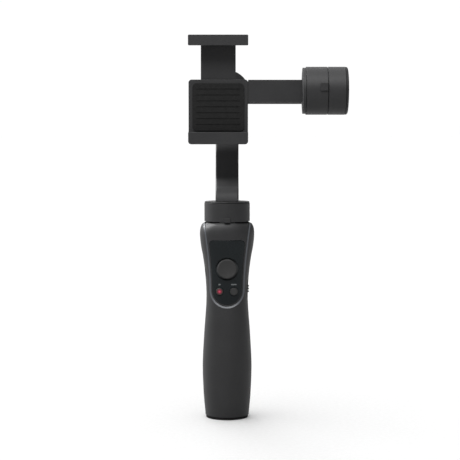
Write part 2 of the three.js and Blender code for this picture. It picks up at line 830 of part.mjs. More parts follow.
class Helix extends THREE.Curve {
  constructor(radius, z0, z1, turns) {
    super();
    Object.assign(this, { radius, z0, z1, turns });
  }

  getPoint(t, target = new THREE.Vector3()) {
    const angle = t * this.turns * 2 * Math.PI;
    const z = THREE.MathUtils.lerp(this.z0, this.z1, t);
    return target.set(this.radius * Math.cos(angle), this.radius * Math.sin(angle), z);
  }
}

function jawSpring(side) {
  const wire = new THREE.Shape();
  wire.absarc(0, 0, springWire, 0, 2 * Math.PI);
  const end = springWire + fit;
  const path = new Helix(rodRadius + 2 * springWire, footTop + end, cavityTop - end, springTurns);
  const options = { steps: springTurns * 10, curveSegments: 3, bevelEnabled: false, extrudePath: path };
  const coil = solid(new THREE.ExtrudeGeometry(wire, options));
  return coil.translate([clampCentreX + side * rodOffset, rodY, 0]);
}

const hubStart = tiltSeamX - fit - tiltRotorHeight - fit;
const hubThickness = 2.1;

function clampBracket() {
  const half = 8.5;
  const hub = postX(tiltRadius - 0.7, tiltY, axisHeight, hubStart - hubThickness, hubStart);
  const bar = block(
    clampRight + fit, hubStart - 0.5, plateFront, plateBack, axisHeight - half, axisHeight + half,
  );
  return join(hub, bar);
}

// ---- assembly ----
function addHandle(group) {
  place(group, "grip_front_shell", gripFrontShell(), charcoal);
  place(group, "grip_rear_shell", gripRearShell(), charcoal);
  place(group, "control_fascia", controlFascia(), charcoal);
  place(group, "control_panel", controlPanel(), gloss);
  place(group, "joystick_base", joystickBase(), black);
  place(group, "joystick_yoke", joystickYoke(), steel);
  place(group, "joystick_cap", joystickCap(), charcoal);
  place(group, "record_switch", pushSwitch(recordX), steel);
  place(group, "mode_switch", pushSwitch(modeX), steel);
  place(group, "record_button", pushButton(recordX, recordRadius), red);
  place(group, "mode_button", pushButton(modeX, modeRadius), charcoal);
  place(group, "zoom_switch", zoomSwitch(), black);
  place(group, "zoom_slider", zoomSlider(), charcoal);
  place(group, "main_circuit_board", circuitBoard(), board);
  place(group, "charge_port", chargePort(), steel);
  place(group, "battery_tray", batteryTray(), black);
  place(group, "battery_cell", batteryCell(), cellWrap);
  place(group, "base_cap", baseCap(), black);
  place(group, "tripod_insert", tripodInsert(), brass);
  place(group, "base_pad", basePad(), rubber);
  place(group, "grip_screw_low", gripScrew(lowScrewZ), steel);
  place(group, "grip_screw_high", gripScrew(highScrewZ), steel);
}

function addPanStage(group) {
  const motor = new THREE.Group();
  motor.position.z = gripHeight;
  group.add(motor);
  const cupHeight = panRotorHeight - panCoverDepth - fit;
  place(group, "pan_stator_mount", panStatorMount(), steel);
  place(motor, "pan_stator_core", statorCore(panRadius, 3.5, 6), copper);
  place(motor, "pan_bearing", bearing(2, 8), steel);
  place(motor, "pan_shaft", shaft(1, panRotorStart + cupHeight - 0.2), steel);
  place(motor, "pan_magnet_ring", magnetRing(panRadius, 3, 7.5), magnet);
  place(motor, "pan_rotor_housing", rotorHousing(panRadius, panRotorStart, cupHeight), charcoal);
  place(motor, "pan_cover", disc(panRadius - 0.3, panRotorTop - panCoverDepth, panRotorTop), black);
  place(motor, "pan_index_tab", indexTab(panRadius, 5, 0.4, 3.9, 1.1), charcoal);
  place(group, "pan_arm", panArm(), charcoal);
  place(group, "pan_arm_cover", panArmCover(), black);
}

function addRollStage(group) {
  const motor = new THREE.Group();
  motor.position.set(0, rollSeamY, axisHeight);
  motor.rotation.x = Math.PI / 2;
  group.add(motor);
  place(motor, "roll_stator_housing", statorHousing(rollRadius, -fit, rollStatorHeight, 5.2), charcoal);
  place(motor, "roll_stator_core", statorCore(rollRadius, -0.3, 4.8), copper);
  place(motor, "roll_bearing", bearing(-6, 4), steel);
  place(motor, "roll_shaft", shaft(-9, rollRotorHeight), steel);
  place(motor, "roll_magnet_ring", magnetRing(rollRadius, fit, 5), magnet);
  place(motor, "roll_rotor_housing", rotorHousing(rollRadius, fit, rollRotorHeight), charcoal);
  place(group, "roll_arm", rollArm(), charcoal);
  place(group, "roll_arm_cover", rollArmCover(), black);
}

function addTiltStage(group) {
  const motor = new THREE.Group();
  motor.position.set(tiltSeamX, tiltY, axisHeight);
  motor.rotation.y = -Math.PI / 2;
  group.add(motor);
  const capDepth = 2;
  const cupHeight = tiltStatorHeight - capDepth - fit;
  const rim = [
    [0, -fit - tiltStatorHeight], [tiltRadius - 1.5, -fit - tiltStatorHeight],
    [tiltRadius - 0.2, -fit - tiltStatorHeight + 1.1], [tiltRadius - 0.1, -fit - cupHeight - fit],
    [0, -fit - cupHeight - fit],
  ];
  place(motor, "tilt_outer_housing", statorHousing(tiltRadius, -fit, cupHeight, 10.5), charcoal);
  place(motor, "tilt_end_cap", turned(rim), black);
  place(motor, "tilt_stator_core", statorCore(tiltRadius, 3.5, 5), copper);
  place(motor, "tilt_bearing", bearing(-6, 8), steel);
  place(motor, "tilt_shaft", shaft(-9, tiltRotorHeight), steel);
  place(motor, "tilt_magnet_ring", magnetRing(tiltRadius, 3, 6), magnet);
  place(motor, "tilt_rotor_housing", rotorHousing(tiltRadius, fit, tiltRotorHeight), charcoal);
  const tab = place(motor, "tilt_index_tab", indexTab(tiltRadius, 6, 0.4, 6.2, 1), charcoal);
  tab.rotation.z = THREE.MathUtils.degToRad(8);
}

function addClamp(group) {
  place(group, "clamp_bracket", clampBracket(), charcoal);
  place(group, "clamp_body", clampBody(), charcoal);
  place(group, "clamp_back_cover", clampBackCover(), black);
  place(group, "cover_screw", coverScrewBody(), steel);
  const padTop = upperJawBottom + padThickness;
  place(group, "lower_jaw_pad", jawPad(lowerJawTop - padThickness, lowerJawTop), rubber);
  place(group, "upper_jaw_pad", jawPad(upperJawBottom, padTop), rubber);
  place(group, "back_pad", backPad(), rubber);
  place(group, "guide_rod_left", guideRod(-1), steel);
  place(group, "guide_rod_right", guideRod(1), steel);
  place(group, "jaw_spring_left", jawSpring(-1), steel);
  place(group, "jaw_spring_right", jawSpring(1), steel);
  place(group, "upper_jaw", upperJaw(), charcoal);
}

const gimbal = new THREE.Group();
addHandle(gimbal);
addPanStage(gimbal);
addRollStage(gimbal);
addTiltStage(gimbal);
addClamp(gimbal);

// Centre the whole assembly over the origin, on z = 0.
const extent = new THREE.Box3().setFromObject(gimbal);
const middle = extent.getCenter(new THREE.Vector3());
gimbal.position.set(-middle.x, -middle.y, -extent.min.z);

export default gimbal;
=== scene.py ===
import math

import bmesh
import bpy
import numpy as np
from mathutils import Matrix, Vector


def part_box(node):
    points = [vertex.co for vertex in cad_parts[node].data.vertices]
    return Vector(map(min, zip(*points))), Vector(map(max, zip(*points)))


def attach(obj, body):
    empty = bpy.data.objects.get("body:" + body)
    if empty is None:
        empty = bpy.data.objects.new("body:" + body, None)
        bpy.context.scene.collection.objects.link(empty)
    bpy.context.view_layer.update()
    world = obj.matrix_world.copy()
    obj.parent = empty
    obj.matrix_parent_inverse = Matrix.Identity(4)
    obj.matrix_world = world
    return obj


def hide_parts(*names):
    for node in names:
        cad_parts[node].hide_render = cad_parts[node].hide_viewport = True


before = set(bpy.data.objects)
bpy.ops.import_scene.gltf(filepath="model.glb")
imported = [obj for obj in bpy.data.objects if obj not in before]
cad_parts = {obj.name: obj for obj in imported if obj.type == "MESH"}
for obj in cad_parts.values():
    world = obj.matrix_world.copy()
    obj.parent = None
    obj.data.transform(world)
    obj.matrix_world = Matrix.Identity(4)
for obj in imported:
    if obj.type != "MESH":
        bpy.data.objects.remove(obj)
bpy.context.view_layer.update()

# ---- Camera and the axis of the grip ----
# A long lens a little above the controls, looking slightly down, as a product
# is shot. All shapes are drawn in millimetres about the grip's own axis.
base_low, base_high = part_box("base_pad")
pan_x = (base_low[0] + base_high[0]) / 2
pan_y = (base_low[1] + base_high[1]) / 2

camera = bpy.data.objects.new("camera", bpy.data.cameras.new("camera"))
bpy.context.collection.objects.link(camera)
camera.data.sensor_width = 36
camera.data.lens = 111.1
aside, distance, height, look_down = 0.00225, 1.1, 0.2224, 3.961
camera.location = (pan_x + aside, pan_y - distance, height)
camera.rotation_euler = (math.radians(90 - look_down), 0, 0)
bpy.context.scene.camera = camera


# ---- Tripod insert, base pad and base cap ----
# A brass insert moulded into the nylon base cap takes a quarter-inch screw. The
# cap closes the grip from below, and a nitrile rubber pad is glued under it.


def span(cad_node):
    """A CAD node's lowest and highest corner in millimetres about the grip's axis."""
    low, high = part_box(cad_node)
    axis = Vector((pan_x, pan_y, 0))
    return (Vector(low) - axis) * 1000, (Vector(high) - axis) * 1000


def solid(name, points, faces):
    """A mesh object from points in millimetres about the grip's axis."""
    mesh = bpy.data.meshes.new(name)
    mesh.from_pydata([(x / 1000 + pan_x, y / 1000 + pan_y, z / 1000) for x, y, z in points], [], faces)
    mesh.update()
    made = bpy.data.objects.new(name, mesh)
    bpy.context.collection.objects.link(made)
    return made


def loft(name, rings):
    """A closed skin over rings of equal count, in order; a ring of one point is a pole."""
    points, starts = [], []
    for ring in rings:
        starts.append(len(points))
        points.extend(tuple(p) for p in ring)
    faces = []
    for (a, ring_a), (b, ring_b) in zip(zip(starts, rings), zip(starts[1:], rings[1:])):
        count = max(len(ring_a), len(ring_b))
        for i in range(count):
            j = (i + 1) % count
            if len(ring_a) == 1:
                faces.append((a, b + j, b + i))
            elif len(ring_b) == 1:
                faces.append((a + i, a + j, b))
            else:
                faces.append((a + i, a + j, b + j, b + i))
    if len(rings[0]) > 1:
        faces.append(tuple(reversed(range(starts[0], starts[0] + len(rings[0])))))
    if len(rings[-1]) > 1:
        faces.append(tuple(range(starts[-1], starts[-1] + len(rings[-1]))))
    return outward(solid(name, points, faces))


def outward(made):
    """Turns a closed mesh's faces outwards."""
    work = bmesh.new()
    work.from_mesh(made.data)
    bmesh.ops.recalc_face_normals(work, faces=work.faces)
    work.to_mesh(made.data)
    work.free()
    return made


def carve(made, *tools, how="DIFFERENCE"):
    """Cuts the tools out of a piece, or joins or meets them with it, and removes them."""
    for tool in tools:
        cut = made.modifiers.new("cut", "BOOLEAN")
        cut.operation = how
        cut.object = tool
        cut.solver = "MANIFOLD"
    graph = bpy.context.evaluated_depsgraph_get()
    result = bpy.data.meshes.new_from_object(made.evaluated_get(graph))
    made.modifiers.clear()
    made.data = result
    for tool in tools:
        bpy.data.objects.remove(tool)
    return made


def soften(made, width=0.0, segments=3, angle=35):
    """Rounds the edges sharper than an angle by a width in millimetres, and smooths the rest."""
    made.data.shade_smooth()
    made.data.set_sharp_from_angle(angle=math.radians(angle))
    if width:
        edge = made.modifiers.new("rounded edges", "BEVEL")
        edge.width = width / 1000
        edge.segments = segments
        edge.limit_method = "ANGLE"
        edge.angle_limit = math.radians(angle)
        edge.use_clamp_overlap = True
        edge.harden_normals = False
    even = made.modifiers.new("even normals", "WEIGHTED_NORMAL")
    even.keep_sharp = not width
    return made


def settle(made, material, body, slot, *stands_for):
    """Gives a piece its material, and tells the frame what it rides on and stands for."""
    made.data.materials.clear()
    made.data.materials.append(material)
    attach(made, body)
    if stands_for:
        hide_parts(*stands_for)


def linear(code):
    """An sRGB hex colour as the linear colour that a shader takes."""
    values = [int(code[i:i + 2], 16) / 255 for i in (1, 3, 5)]
    return (*[v / 12.92 if v <= 0.04045 else ((v + 0.055) / 1.055) ** 2.4 for v in values], 1.0)


def add_node(tree, kind, inputs=None, **settings):
    """Adds one node: settings go on the node, inputs are values or sockets to link."""
    made = tree.nodes.new(kind)
    for key, value in settings.items():
        setattr(made, key, value)
    for key, value in (inputs or {}).items():
        if isinstance(value, bpy.types.NodeSocket):
            tree.links.new(value, made.inputs[key])
        else:
            made.inputs[key].default_value = value
    return made


def new_material(name):
    """A node material, its tree, its Principled shader and the place on the piece."""
    material = bpy.data.materials.new(name)
    material.use_nodes = True
    tree = material.node_tree
    place = add_node(tree, "ShaderNodeTexCoord").outputs["Object"]
    return material, tree, tree.nodes["Principled BSDF"], place


def two_tones(tree, shader, dark, light, blend):
    """Lets the base colour drift between two hex tones with a pattern."""
    ramp = add_node(tree, "ShaderNodeValToRGB", {"Fac": blend})
    ramp.color_ramp.elements[0].color = linear(dark)
    ramp.color_ramp.elements[1].color = linear(light)
    ramp.color_ramp.elements[0].position = 0.3
    ramp.color_ramp.elements[1].position = 0.7
    tree.links.new(ramp.outputs["Color"], shader.inputs["Base Color"])


def uneven(tree, shader, pattern, smooth, rough):
    """Lets the roughness drift between two values with a pattern."""
    spread = add_node(tree, "ShaderNodeMapRange", {"Value": pattern, "To Min": smooth, "To Max": rough})
    tree.links.new(spread.outputs["Result"], shader.inputs["Roughness"])


def relief(tree, shader, height, strength, depth_mm):
    """Gives the surface a fine relief from a pattern."""
    bump = add_node(tree, "ShaderNodeBump", {
        "Height": height, "Strength": strength, "Distance": depth_mm / 1000})
    tree.links.new(bump.outputs["Normal"], shader.inputs["Normal"])


def eroded_plastic(name, dark, light, rough, grain_mm=0.9, depth_mm=0.02):
    """Glass-filled ABS from a spark-eroded mould: matte, with a fine even grain.

    The real grain is about 0.2 mm; it is drawn coarser so that it shows.
    """
    material, tree, shader, place = new_material(name)
    grain = add_node(tree, "ShaderNodeTexNoise", {
        "Vector": place, "Scale": 1000 / grain_mm, "Detail": 3.0, "Roughness": 0.6})
    drift = add_node(tree, "ShaderNodeTexNoise", {
        "Vector": place, "Scale": 1000 / 22, "Detail": 2.0})
    mixed = add_node(tree, "ShaderNodeMath", {
        0: grain.outputs["Fac"], 1: drift.outputs["Fac"]}, operation="MULTIPLY_ADD")
    mixed.inputs[2].default_value = 0.25
    two_tones(tree, shader, dark, light, mixed.outputs["Value"])
    uneven(tree, shader, drift.outputs["Fac"], rough - 0.05, rough + 0.06)
    relief(tree, shader, grain.outputs["Fac"], 0.35, depth_mm)
    shader.inputs["IOR"].default_value = 1.5
    shader.inputs["Specular IOR Level"].default_value = 0.28
    return material


charcoal_abs = eroded_plastic("charcoal spark-eroded ABS", "#1a1a1b", "#212122", 0.54)
black_abs = eroded_plastic("black moulded ABS", "#0d0d0e", "#121213", 0.5)


def cast_rubber(name, dark, light):
    """Nitrile rubber: dull, with a fine powdery bloom and a soft grain."""
    material, tree, shader, place = new_material(name)
    bloom = add_node(tree, "ShaderNodeTexNoise", {"Vector": place, "Scale": 1000 / 3, "Detail": 5.0})
    grain = add_node(tree, "ShaderNodeTexVoronoi", {"Vector": place, "Scale": 1000 / 0.8})
    two_tones(tree, shader, dark, light, bloom.outputs["Fac"])
    relief(tree, shader, grain.outputs["Distance"], 0.3, 0.03)
    shader.inputs["Roughness"].default_value = 0.85
    shader.inputs["Specular IOR Level"].default_value = 0.25
    return material


def worked_metal(name, code, rough, line_mm, stretch):
    """A bare metal with the fine lines that turning, drawing or plating leaves."""
    material, tree, shader, place = new_material(name)
    across = add_node(tree, "ShaderNodeMapping", {"Vector": place, "Scale": stretch})
    lines = add_node(tree, "ShaderNodeTexNoise", {
        "Vector": across.outputs["Vector"], "Scale": 1000 / line_mm, "Detail": 3.0})
    uneven(tree, shader, lines.outputs["Fac"], rough - 0.08, rough + 0.1)
    shade = 0.86
    darker = "#" + "".join(f"{int(int(code[i:i + 2], 16) * shade):02x}" for i in (1, 3, 5))
    two_tones(tree, shader, darker, code, lines.outputs["Fac"])
    relief(tree, shader, lines.outputs["Fac"], 0.2, 0.01)
    shader.inputs["Metallic"].default_value = 1.0
    return material


def turned(name, outline, centre=(0, 0, 0), axis="Z", segments=128):
    """A body turned from (radius, length) points about an axis through a centre."""
    turns = [2 * math.pi * i / segments for i in range(segments)]
    place = {
        "X": lambda c, s, r, h: (centre[0] + h, centre[1] + r * c, centre[2] + r * s),
        "Y": lambda c, s, r, h: (centre[0] + r * s, centre[1] + h, centre[2] + r * c),
        "Z": lambda c, s, r, h: (centre[0] + r * c, centre[1] + r * s, centre[2] + h),
    }[axis]
    rings = []
    for radius, length in outline:
        spots = turns if radius > 0 else [0]
        rings.append([place(math.cos(t), math.sin(t), radius, length) for t in spots])
    closed = outline[0] == outline[-1]
    if not closed:
        return loft(name, rings)
    points = [p for ring in rings[:-1] for p in ring]
    rows = len(rings) - 1
    faces = []
    for row in range(rows):
        for i in range(segments):
            j = (i + 1) % segments
            a, b = row * segments, (row + 1) % rows * segments
            faces.append((a + i, a + j, b + j, b + i))
    return outward(solid(name, points, faces))


pad_high = span("base_pad")[1]
cap_low, cap_high = span("base_cap")
insert_low, insert_high = span("tripod_insert")
rubber = cast_rubber("black nitrile rubber", "#080808", "#101010")
brass = worked_metal("turned brass", "#b08d4a", 0.3, 0.6, (1, 1, 6))
socket_radius = 3.2
pad_hole = socket_radius + 1
pad_radius = pad_high.x
insert_radius = insert_high.x
pad = turned("base_pad_rubber", [
    (pad_hole, 0), (pad_radius, 0), (pad_radius, pad_high.z), (pad_hole, pad_high.z), (pad_hole, 0)])
groove_width, groove_depth = 0.8, 0.3
for inner in (7, 9.6, 12.2):
    # Shallow rings in the pad's face give it grip.
    outer = inner + groove_width
    carve(pad, turned("groove", [
        (inner, -1), (outer, -1), (outer, groove_depth), (inner, groove_depth), (inner, -1)]))
settle(soften(pad, 0.35), rubber, "handle", "rubber", "base_pad")

cap_radius = cap_high.x
cap_hole = insert_radius + 0.2
boss_radius = insert_radius + 2.4
rim_inside = cap_radius - 1.8
rim_top, cap_floor = 8, 4
cap = turned("base_cap_moulding", [
    (cap_hole, cap_low.z), (cap_radius, cap_low.z), (cap_radius, rim_top), (rim_inside, rim_top),
    (rim_inside, cap_floor), (boss_radius, cap_floor), (boss_radius, cap_high.z),
    (cap_hole, cap_high.z), (cap_hole, cap_low.z)])
settle(soften(cap, 0.2), black_abs, "handle", "black_plastic", "base_cap")

thread_pitch, thread_depth = 1.27, 0.45
thread = [(insert_radius, insert_high.z), (insert_radius, insert_low.z)]
for crest in np.arange(insert_low.z + 0.3, insert_high.z - thread_pitch, thread_pitch):
    thread += [(socket_radius + thread_depth, crest), (socket_radius, crest + thread_pitch / 2)]
thread += [(socket_radius + thread_depth, insert_high.z), (insert_radius, insert_high.z)]
settle(soften(turned("tripod_insert_threaded", thread, segments=64)),
       brass, "handle", "brass_insert", "tripod_insert")

# ---- Battery, circuit board and what is soldered to it ----
# A single round lithium cell in a PVC sleeve stands in a nylon tray. The board
# is green glass-epoxy with solder mask; its parts keep their built shapes.


def sleeve_film(name, code):
    """Shrunk PVC sleeve: smooth and glossy with faint wrinkles round the can."""
    material, tree, shader, place = new_material(name)
    folds = add_node(tree, "ShaderNodeTexNoise", {"Vector": place, "Scale": 1000 / 9, "Detail": 2.0})
    two_tones(tree, shader, "#1f4a73", code, folds.outputs["Fac"])
    relief(tree, shader, folds.outputs["Fac"], 0.3, 0.2)
    shader.inputs["Roughness"].default_value = 0.3
    return material


def solder_mask(name):
    """Glass-epoxy board under green mask, with tracks that show as lighter lines."""
    material, tree, shader, place = new_material(name)
    tracks = add_node(tree, "ShaderNodeTexBrick", {
        "Vector": place, "Scale": 1000 / 6, "Color1": linear("#1d4a30"), "Color2": linear("#1f5336"),
        "Mortar": linear("#2f7a4c"), "Mortar Size": 0.03})
    tree.links.new(tracks.outputs["Color"], shader.inputs["Base Color"])
    shader.inputs["Roughness"].default_value = 0.35
    return material


def wound_copper(name):
    """Enamelled wire wound on steel teeth: fine parallel turns with a lacquer gloss."""
    material, tree, shader, place = new_material(name)
    turns = add_node(tree, "ShaderNodeTexWave", {
        "Vector": place, "Scale": 1000 / 1.6, "Distortion": 1.0}, bands_direction="DIAGONAL")
    two_tones(tree, shader, "#5f2c16", "#b9673a", turns.outputs["Fac"])
    shader.inputs["Metallic"].default_value = 0.8
    shader.inputs["Roughness"].default_value = 0.35
    return material


steel = worked_metal("drawn steel", "#9a9c9f", 0.3, 0.5, (1, 1, 8))
nickel = worked_metal("nickel-plated magnet", "#8d8a84", 0.25, 0.8, (1, 1, 1))
cast_alloy = worked_metal("cast aluminium", "#a9abae", 0.42, 1.0, (1, 1, 1))
windings = wound_copper("enamelled copper windings")
board_green = solder_mask("green solder mask")
cell_sleeve = sleeve_film("blue PVC sleeve", "#2f6aa0")
kept = {
    "battery_cell": cell_sleeve, "battery_tray": black_abs, "main_circuit_board": board_green,
    "joystick_base": black_abs, "joystick_yoke": steel, "record_switch": black_abs,
    "mode_switch": black_abs, "zoom_switch": black_abs, "pan_stator_mount": cast_alloy,
    "grip_screw_low": steel, "grip_screw_high": steel, "cover_screw": steel,
    "guide_rod_left": steel, "guide_rod_right": steel,
    "jaw_spring_left": steel, "jaw_spring_right": steel,
}
for motor in ("pan", "roll", "tilt"):
    kept[motor + "_stator_core"] = windings
    kept[motor + "_bearing"] = steel
    kept[motor + "_shaft"] = steel
    kept[motor + "_magnet_ring"] = nickel
for name, material in kept.items():
    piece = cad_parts[name]
    piece.data.materials.clear()
    piece.data.materials.append(material)
    edges = piece.modifiers.new("crisp normals", "WEIGHTED_NORMAL")
    edges.keep_sharp = True

# ---- Grip shells ----
# Front and rear halves moulded in matte charcoal ABS, 2 mm thick, that meet on a
# seam down both sides. Two screws from the back pull them together.
front_low, front_high = span("grip_front_shell")
grip_top = front_high.z
grip_bottom = front_low.z
wall = 2.0
bulge_z = 41.2
waist_z = grip_top - 58.5
# Half width, half depth and height of the skin, from the base to the top.
stations = np.array([
    (16.9, 16.9, grip_bottom), (18.3, 18.2, 17.9), (19.1, 19.1, bulge_z), (18.0, 18.6, bulge_z + 23.3),
    (16.1, 17.5, waist_z), (16.85, 17.6, grip_top - 41.5), (18.55, 18.2, grip_top - 27.5),
    (20.25, 18.9, grip_top - 18.2), (21.1, 19.5, grip_top - 8.9), (20.6, 19.2, grip_top - 4.2),
    (19.3, 18.2, grip_top - 1.3), (17.2, 17.2, grip_top)])


def through(points, per_span=24):
    """A centripetal spline through points, as an array of samples."""
    def blend(a, b, start, end, t):
        """The point on the way from a to b, as t goes from start to end."""
        return ((end - t) * a + (t - start) * b) / (end - start)

    padded = np.vstack([2 * points[0] - points[1], points, 2 * points[-1] - points[-2]])
    samples = []
    for p0, p1, p2, p3 in zip(padded, padded[1:], padded[2:], padded[3:]):
        steps = [np.linalg.norm(b - a) ** 0.5 for a, b in ((p0, p1), (p1, p2), (p2, p3))]
        k0, k1, k2, k3 = np.cumsum([0] + steps)
        for t in np.linspace(k1, k2, per_span, endpoint=False):
            first = blend(p0, p1, k0, k1, t)
            middle = blend(p1, p2, k1, k2, t)
            last = blend(p2, p3, k2, k3, t)
            before = blend(first, middle, k0, k2, t)
            after = blend(middle, last, k1, k3, t)
            samples.append(blend(before, after, k1, k2, t))
    return np.array([*samples, points[-1]])


grip_edge = through(stations)


def smoothstep(value, low, high):
    """Eases from 0 to 1 between two values."""
    t = min(1.0, max(0.0, (value - low) / (high - low)))
    return t * t * (3 - 2 * t)


def section(z):
    """Half width and half depth of the grip at a height."""
    return (np.interp(z, grip_edge[:, 2], grip_edge[:, 0]), np.interp(z, grip_edge[:, 2], grip_edge[:, 1]))


def squareness(z):
    """How square the section is: 2 is an ellipse."""
    return 2 + 0.4 * smoothstep(z, 20, waist_z) - 0.3 * smoothstep(z, grip_top - 8.9, grip_top)


def skin_y(x, z):
    """Depth of the grip's front skin at a place seen from the front."""
    half_width, half_depth = section(z)
    share = min(abs(x) / half_width, 0.985)
    power = squareness(z)
    return -half_depth * (1 - share ** power) ** (1 / power)


def grip_form(name, inset, low, high):
    """The grip's outer form drawn in by an inset, between two heights."""
    around = 160
    rings = []
    for z in grip_edge[::2, 2]:
        z = low + (high - low) * (z - grip_bottom) / (grip_top - grip_bottom)
        half_width, half_depth = section(z)
        power = 2 / squareness(z)
        ring = []
        for i in range(around):
            turn = 2 * math.pi * i / around
            c, s = math.cos(turn), math.sin(turn)
            ring.append((
                (half_width - inset) * math.copysign(abs(c) ** power, c),
                (half_depth - inset) * math.copysign(abs(s) ** power, s), z))
        rings.append(ring)
    return loft(name, rings)


def block(low, high, name="block"):
    """A plain box to cut with or to carve."""
    xs, ys, zs = zip(low, high)
    points = [(x, y, z) for x in xs for y in ys for z in zs]
    faces = [(0, 1, 3, 2), (4, 6, 7, 5), (0, 4, 5, 1), (2, 3, 7, 6), (0, 2, 6, 4), (1, 5, 7, 3)]
    return outward(solid(name, points, faces))


def rod(radius, centre, start, end, axis="Y", segments=48):
    """A plain cylinder along an axis, between two places on it."""
    outline = [(0, start), (radius, start), (radius, end), (0, end)]
    return turned("rod", outline, centre, axis, segments)


def shield(rise, top_half, low_half, bottom, corner, margin):
    """The U-shaped outline of the fascia or panel, seen from the front."""
    count = 40
    top, bottom = rise + margin, bottom - margin
    wide, low, corner = top_half + margin, low_half + margin, corner + margin
    spring = bottom + low
    bend = spring + (top - spring) * 0.42
    side = 0.16 * corner

    def curve(a, b, c, steps):
        shares = np.linspace(0, 1, steps, endpoint=False)
        return [tuple((1 - t) ** 2 * np.array(a) + 2 * t * (1 - t) * np.array(b) + t * t * np.array(c))
                for t in shares]

    corner_a = curve((-wide + corner, top), (-wide, top), (-wide + side, top - corner), 12)
    side_a = curve((-wide + side, top - corner), (-low - 0.3, bend), (-low, spring), count)
    arc = [(low * math.cos(t), spring + low * math.sin(t))
           for t in np.linspace(math.pi, 2 * math.pi, count, endpoint=False)]
    side_b = [(-x, z) for x, z in reversed(side_a)]
    corner_b = [(-x, z) for x, z in reversed(corner_a)]
    roof = [(wide - corner - 2 * (wide - corner) * t, top) for t in np.linspace(0, 1, 24)[1:-1]]
    return corner_a + side_a + arc + [(low, spring)] + side_b[:-1] + corner_b + roof


def skin_solid(name, outline, profile, centre_z, sink=None, fill=16):
    """A solid that follows the grip's skin: profile is (margin, depth) from back to front."""
    def ring(margin, depth, share=1.0):
        spots = []
        for x, z in outline(margin):
            x, z = x * share, centre_z + (z - centre_z) * share
            extra = sink(x, z) if sink else 0
            spots.append((x, skin_y(x, min(z, grip_top)) + depth + extra, z))
        return spots
    first, last = profile[0], profile[-1]
    rings = [ring(*first, share) for share in np.linspace(0, 1, fill)]
    rings += [ring(*step) for step in profile[1:-1]]
    rings += [ring(*last, share) for share in np.linspace(1, 0, fill)]
    rings[0], rings[-1] = rings[0][:1], rings[-1][:1]
    return loft(name, rings)


fascia_rise = grip_top + 2
fascia_bottom = grip_top - 64
panel_rise = grip_top - 13
panel_bottom = grip_top - 62.7


fascia_half = 17.6


def fascia_outline(margin):
    """The fascia's edge, moved out by a margin."""
    return shield(fascia_rise, fascia_half, 12.2, fascia_bottom, 2, margin)


def panel_outline(margin):
    """The panel's edge, moved out by a margin."""
    return shield(panel_rise, 14.2, 11.3, panel_bottom, 4.4, margin)


button_z = grip_top - 52.5
zoom_low, zoom_high = span("zoom_slider")
zoom_z = (zoom_low.z + zoom_high.z) / 2
zoom_y = -4.7
port_low, port_high = span("charge_port")
neck_radius = 6.5
lip_chamfer = 1.3
lip_depth = 0.75
gap = 0.1
# Further out than any part of the grip, for cuts that go right through.
far = 40


def shell(name, front):
    """The front or rear half of the hollow grip."""
    made = grip_form(name, 0, grip_bottom, grip_top)
    carve(made, grip_form("hollow", wall, grip_bottom - 1, grip_top - wall))
    keep = block((-far, -far, 0), (far, -gap, grip_top + 1)) if front else \
        block((-far, gap, 0), (far, far, grip_top + 1))
    carve(made, keep, how="INTERSECT")
    carve(made, rod(neck_radius, (0, 0, 0), grip_top - 5, grip_top + 1, "Z", 96))
    return made


front_shell = shell("grip_front_moulding", True)
flare = [(gap, 14), (gap, lip_depth), (gap + lip_chamfer, 0), (gap + lip_chamfer + 1.5, -1.6)]
carve(front_shell, skin_solid("flare", fascia_outline, flare, grip_top - 30))
slot_half_y, slot_half_z = 2.5, 6.55
carve(front_shell, block((5, zoom_y - slot_half_y, zoom_z - slot_half_z),
                         (30, zoom_y + slot_half_y, zoom_z + slot_half_z)))
port_gap = 0.25
carve(front_shell, block((-30, port_low.y - port_gap, port_low.z - port_gap),
                         (-5, port_high.y + port_gap, port_high.z + port_gap)))
settle(soften(front_shell, angle=28), charcoal_abs, "handle", "charcoal_plastic", "grip_front_shell")

rear_shell = shell("grip_rear_moulding", False)
head_hole, head_depth, shank_hole = 2.2, 1.9, 1.2
for screw in ("grip_screw_low", "grip_screw_high"):
    low, high = span(screw)
    middle = (0, 0, (low.z + high.z) / 2)
    carve(rear_shell, rod(head_hole, middle, high.y - head_depth, far), rod(shank_hole, middle, 0, far))
settle(soften(rear_shell, angle=28), charcoal_abs, "handle", "charcoal_plastic", "grip_rear_shell")

port_wall = 0.4
port = block(port_low, port_high, "charge_port_shell")
carve(port, block((port_low.x - 1, port_low.y + port_wall, port_low.z + port_wall),
                  (port_high.x - 1, port_high.y - port_wall, port_high.z - port_wall)))
settle(soften(port, 0.15), steel, "handle", "steel", "charge_port")

# ---- Fascia, panel and its marks ----
# A matte fascia is snapped into the front shell a little below its lip, whose
# chamfer is a little glossier and painted lighter as a highlight. The panel is
# glossy acrylic with two small printed marks.


def skin_strip(name, outline, profile):
    """A closed strip that runs round an outline on the skin: profile is a loop of (margin, depth)."""
    rings = [[(x, skin_y(x, min(z, grip_top)) + depth, z) for x, z in outline(margin)]
             for margin, depth in profile]
    count = len(rings[0])
    faces = []
    for row in range(len(rings)):
        a, b = row * count, (row + 1) % len(rings) * count
        faces += [(a + i, a + (i + 1) % count, b + (i + 1) % count, b + i) for i in range(count)]
    return outward(solid(name, [p for ring in rings for p in ring], faces))
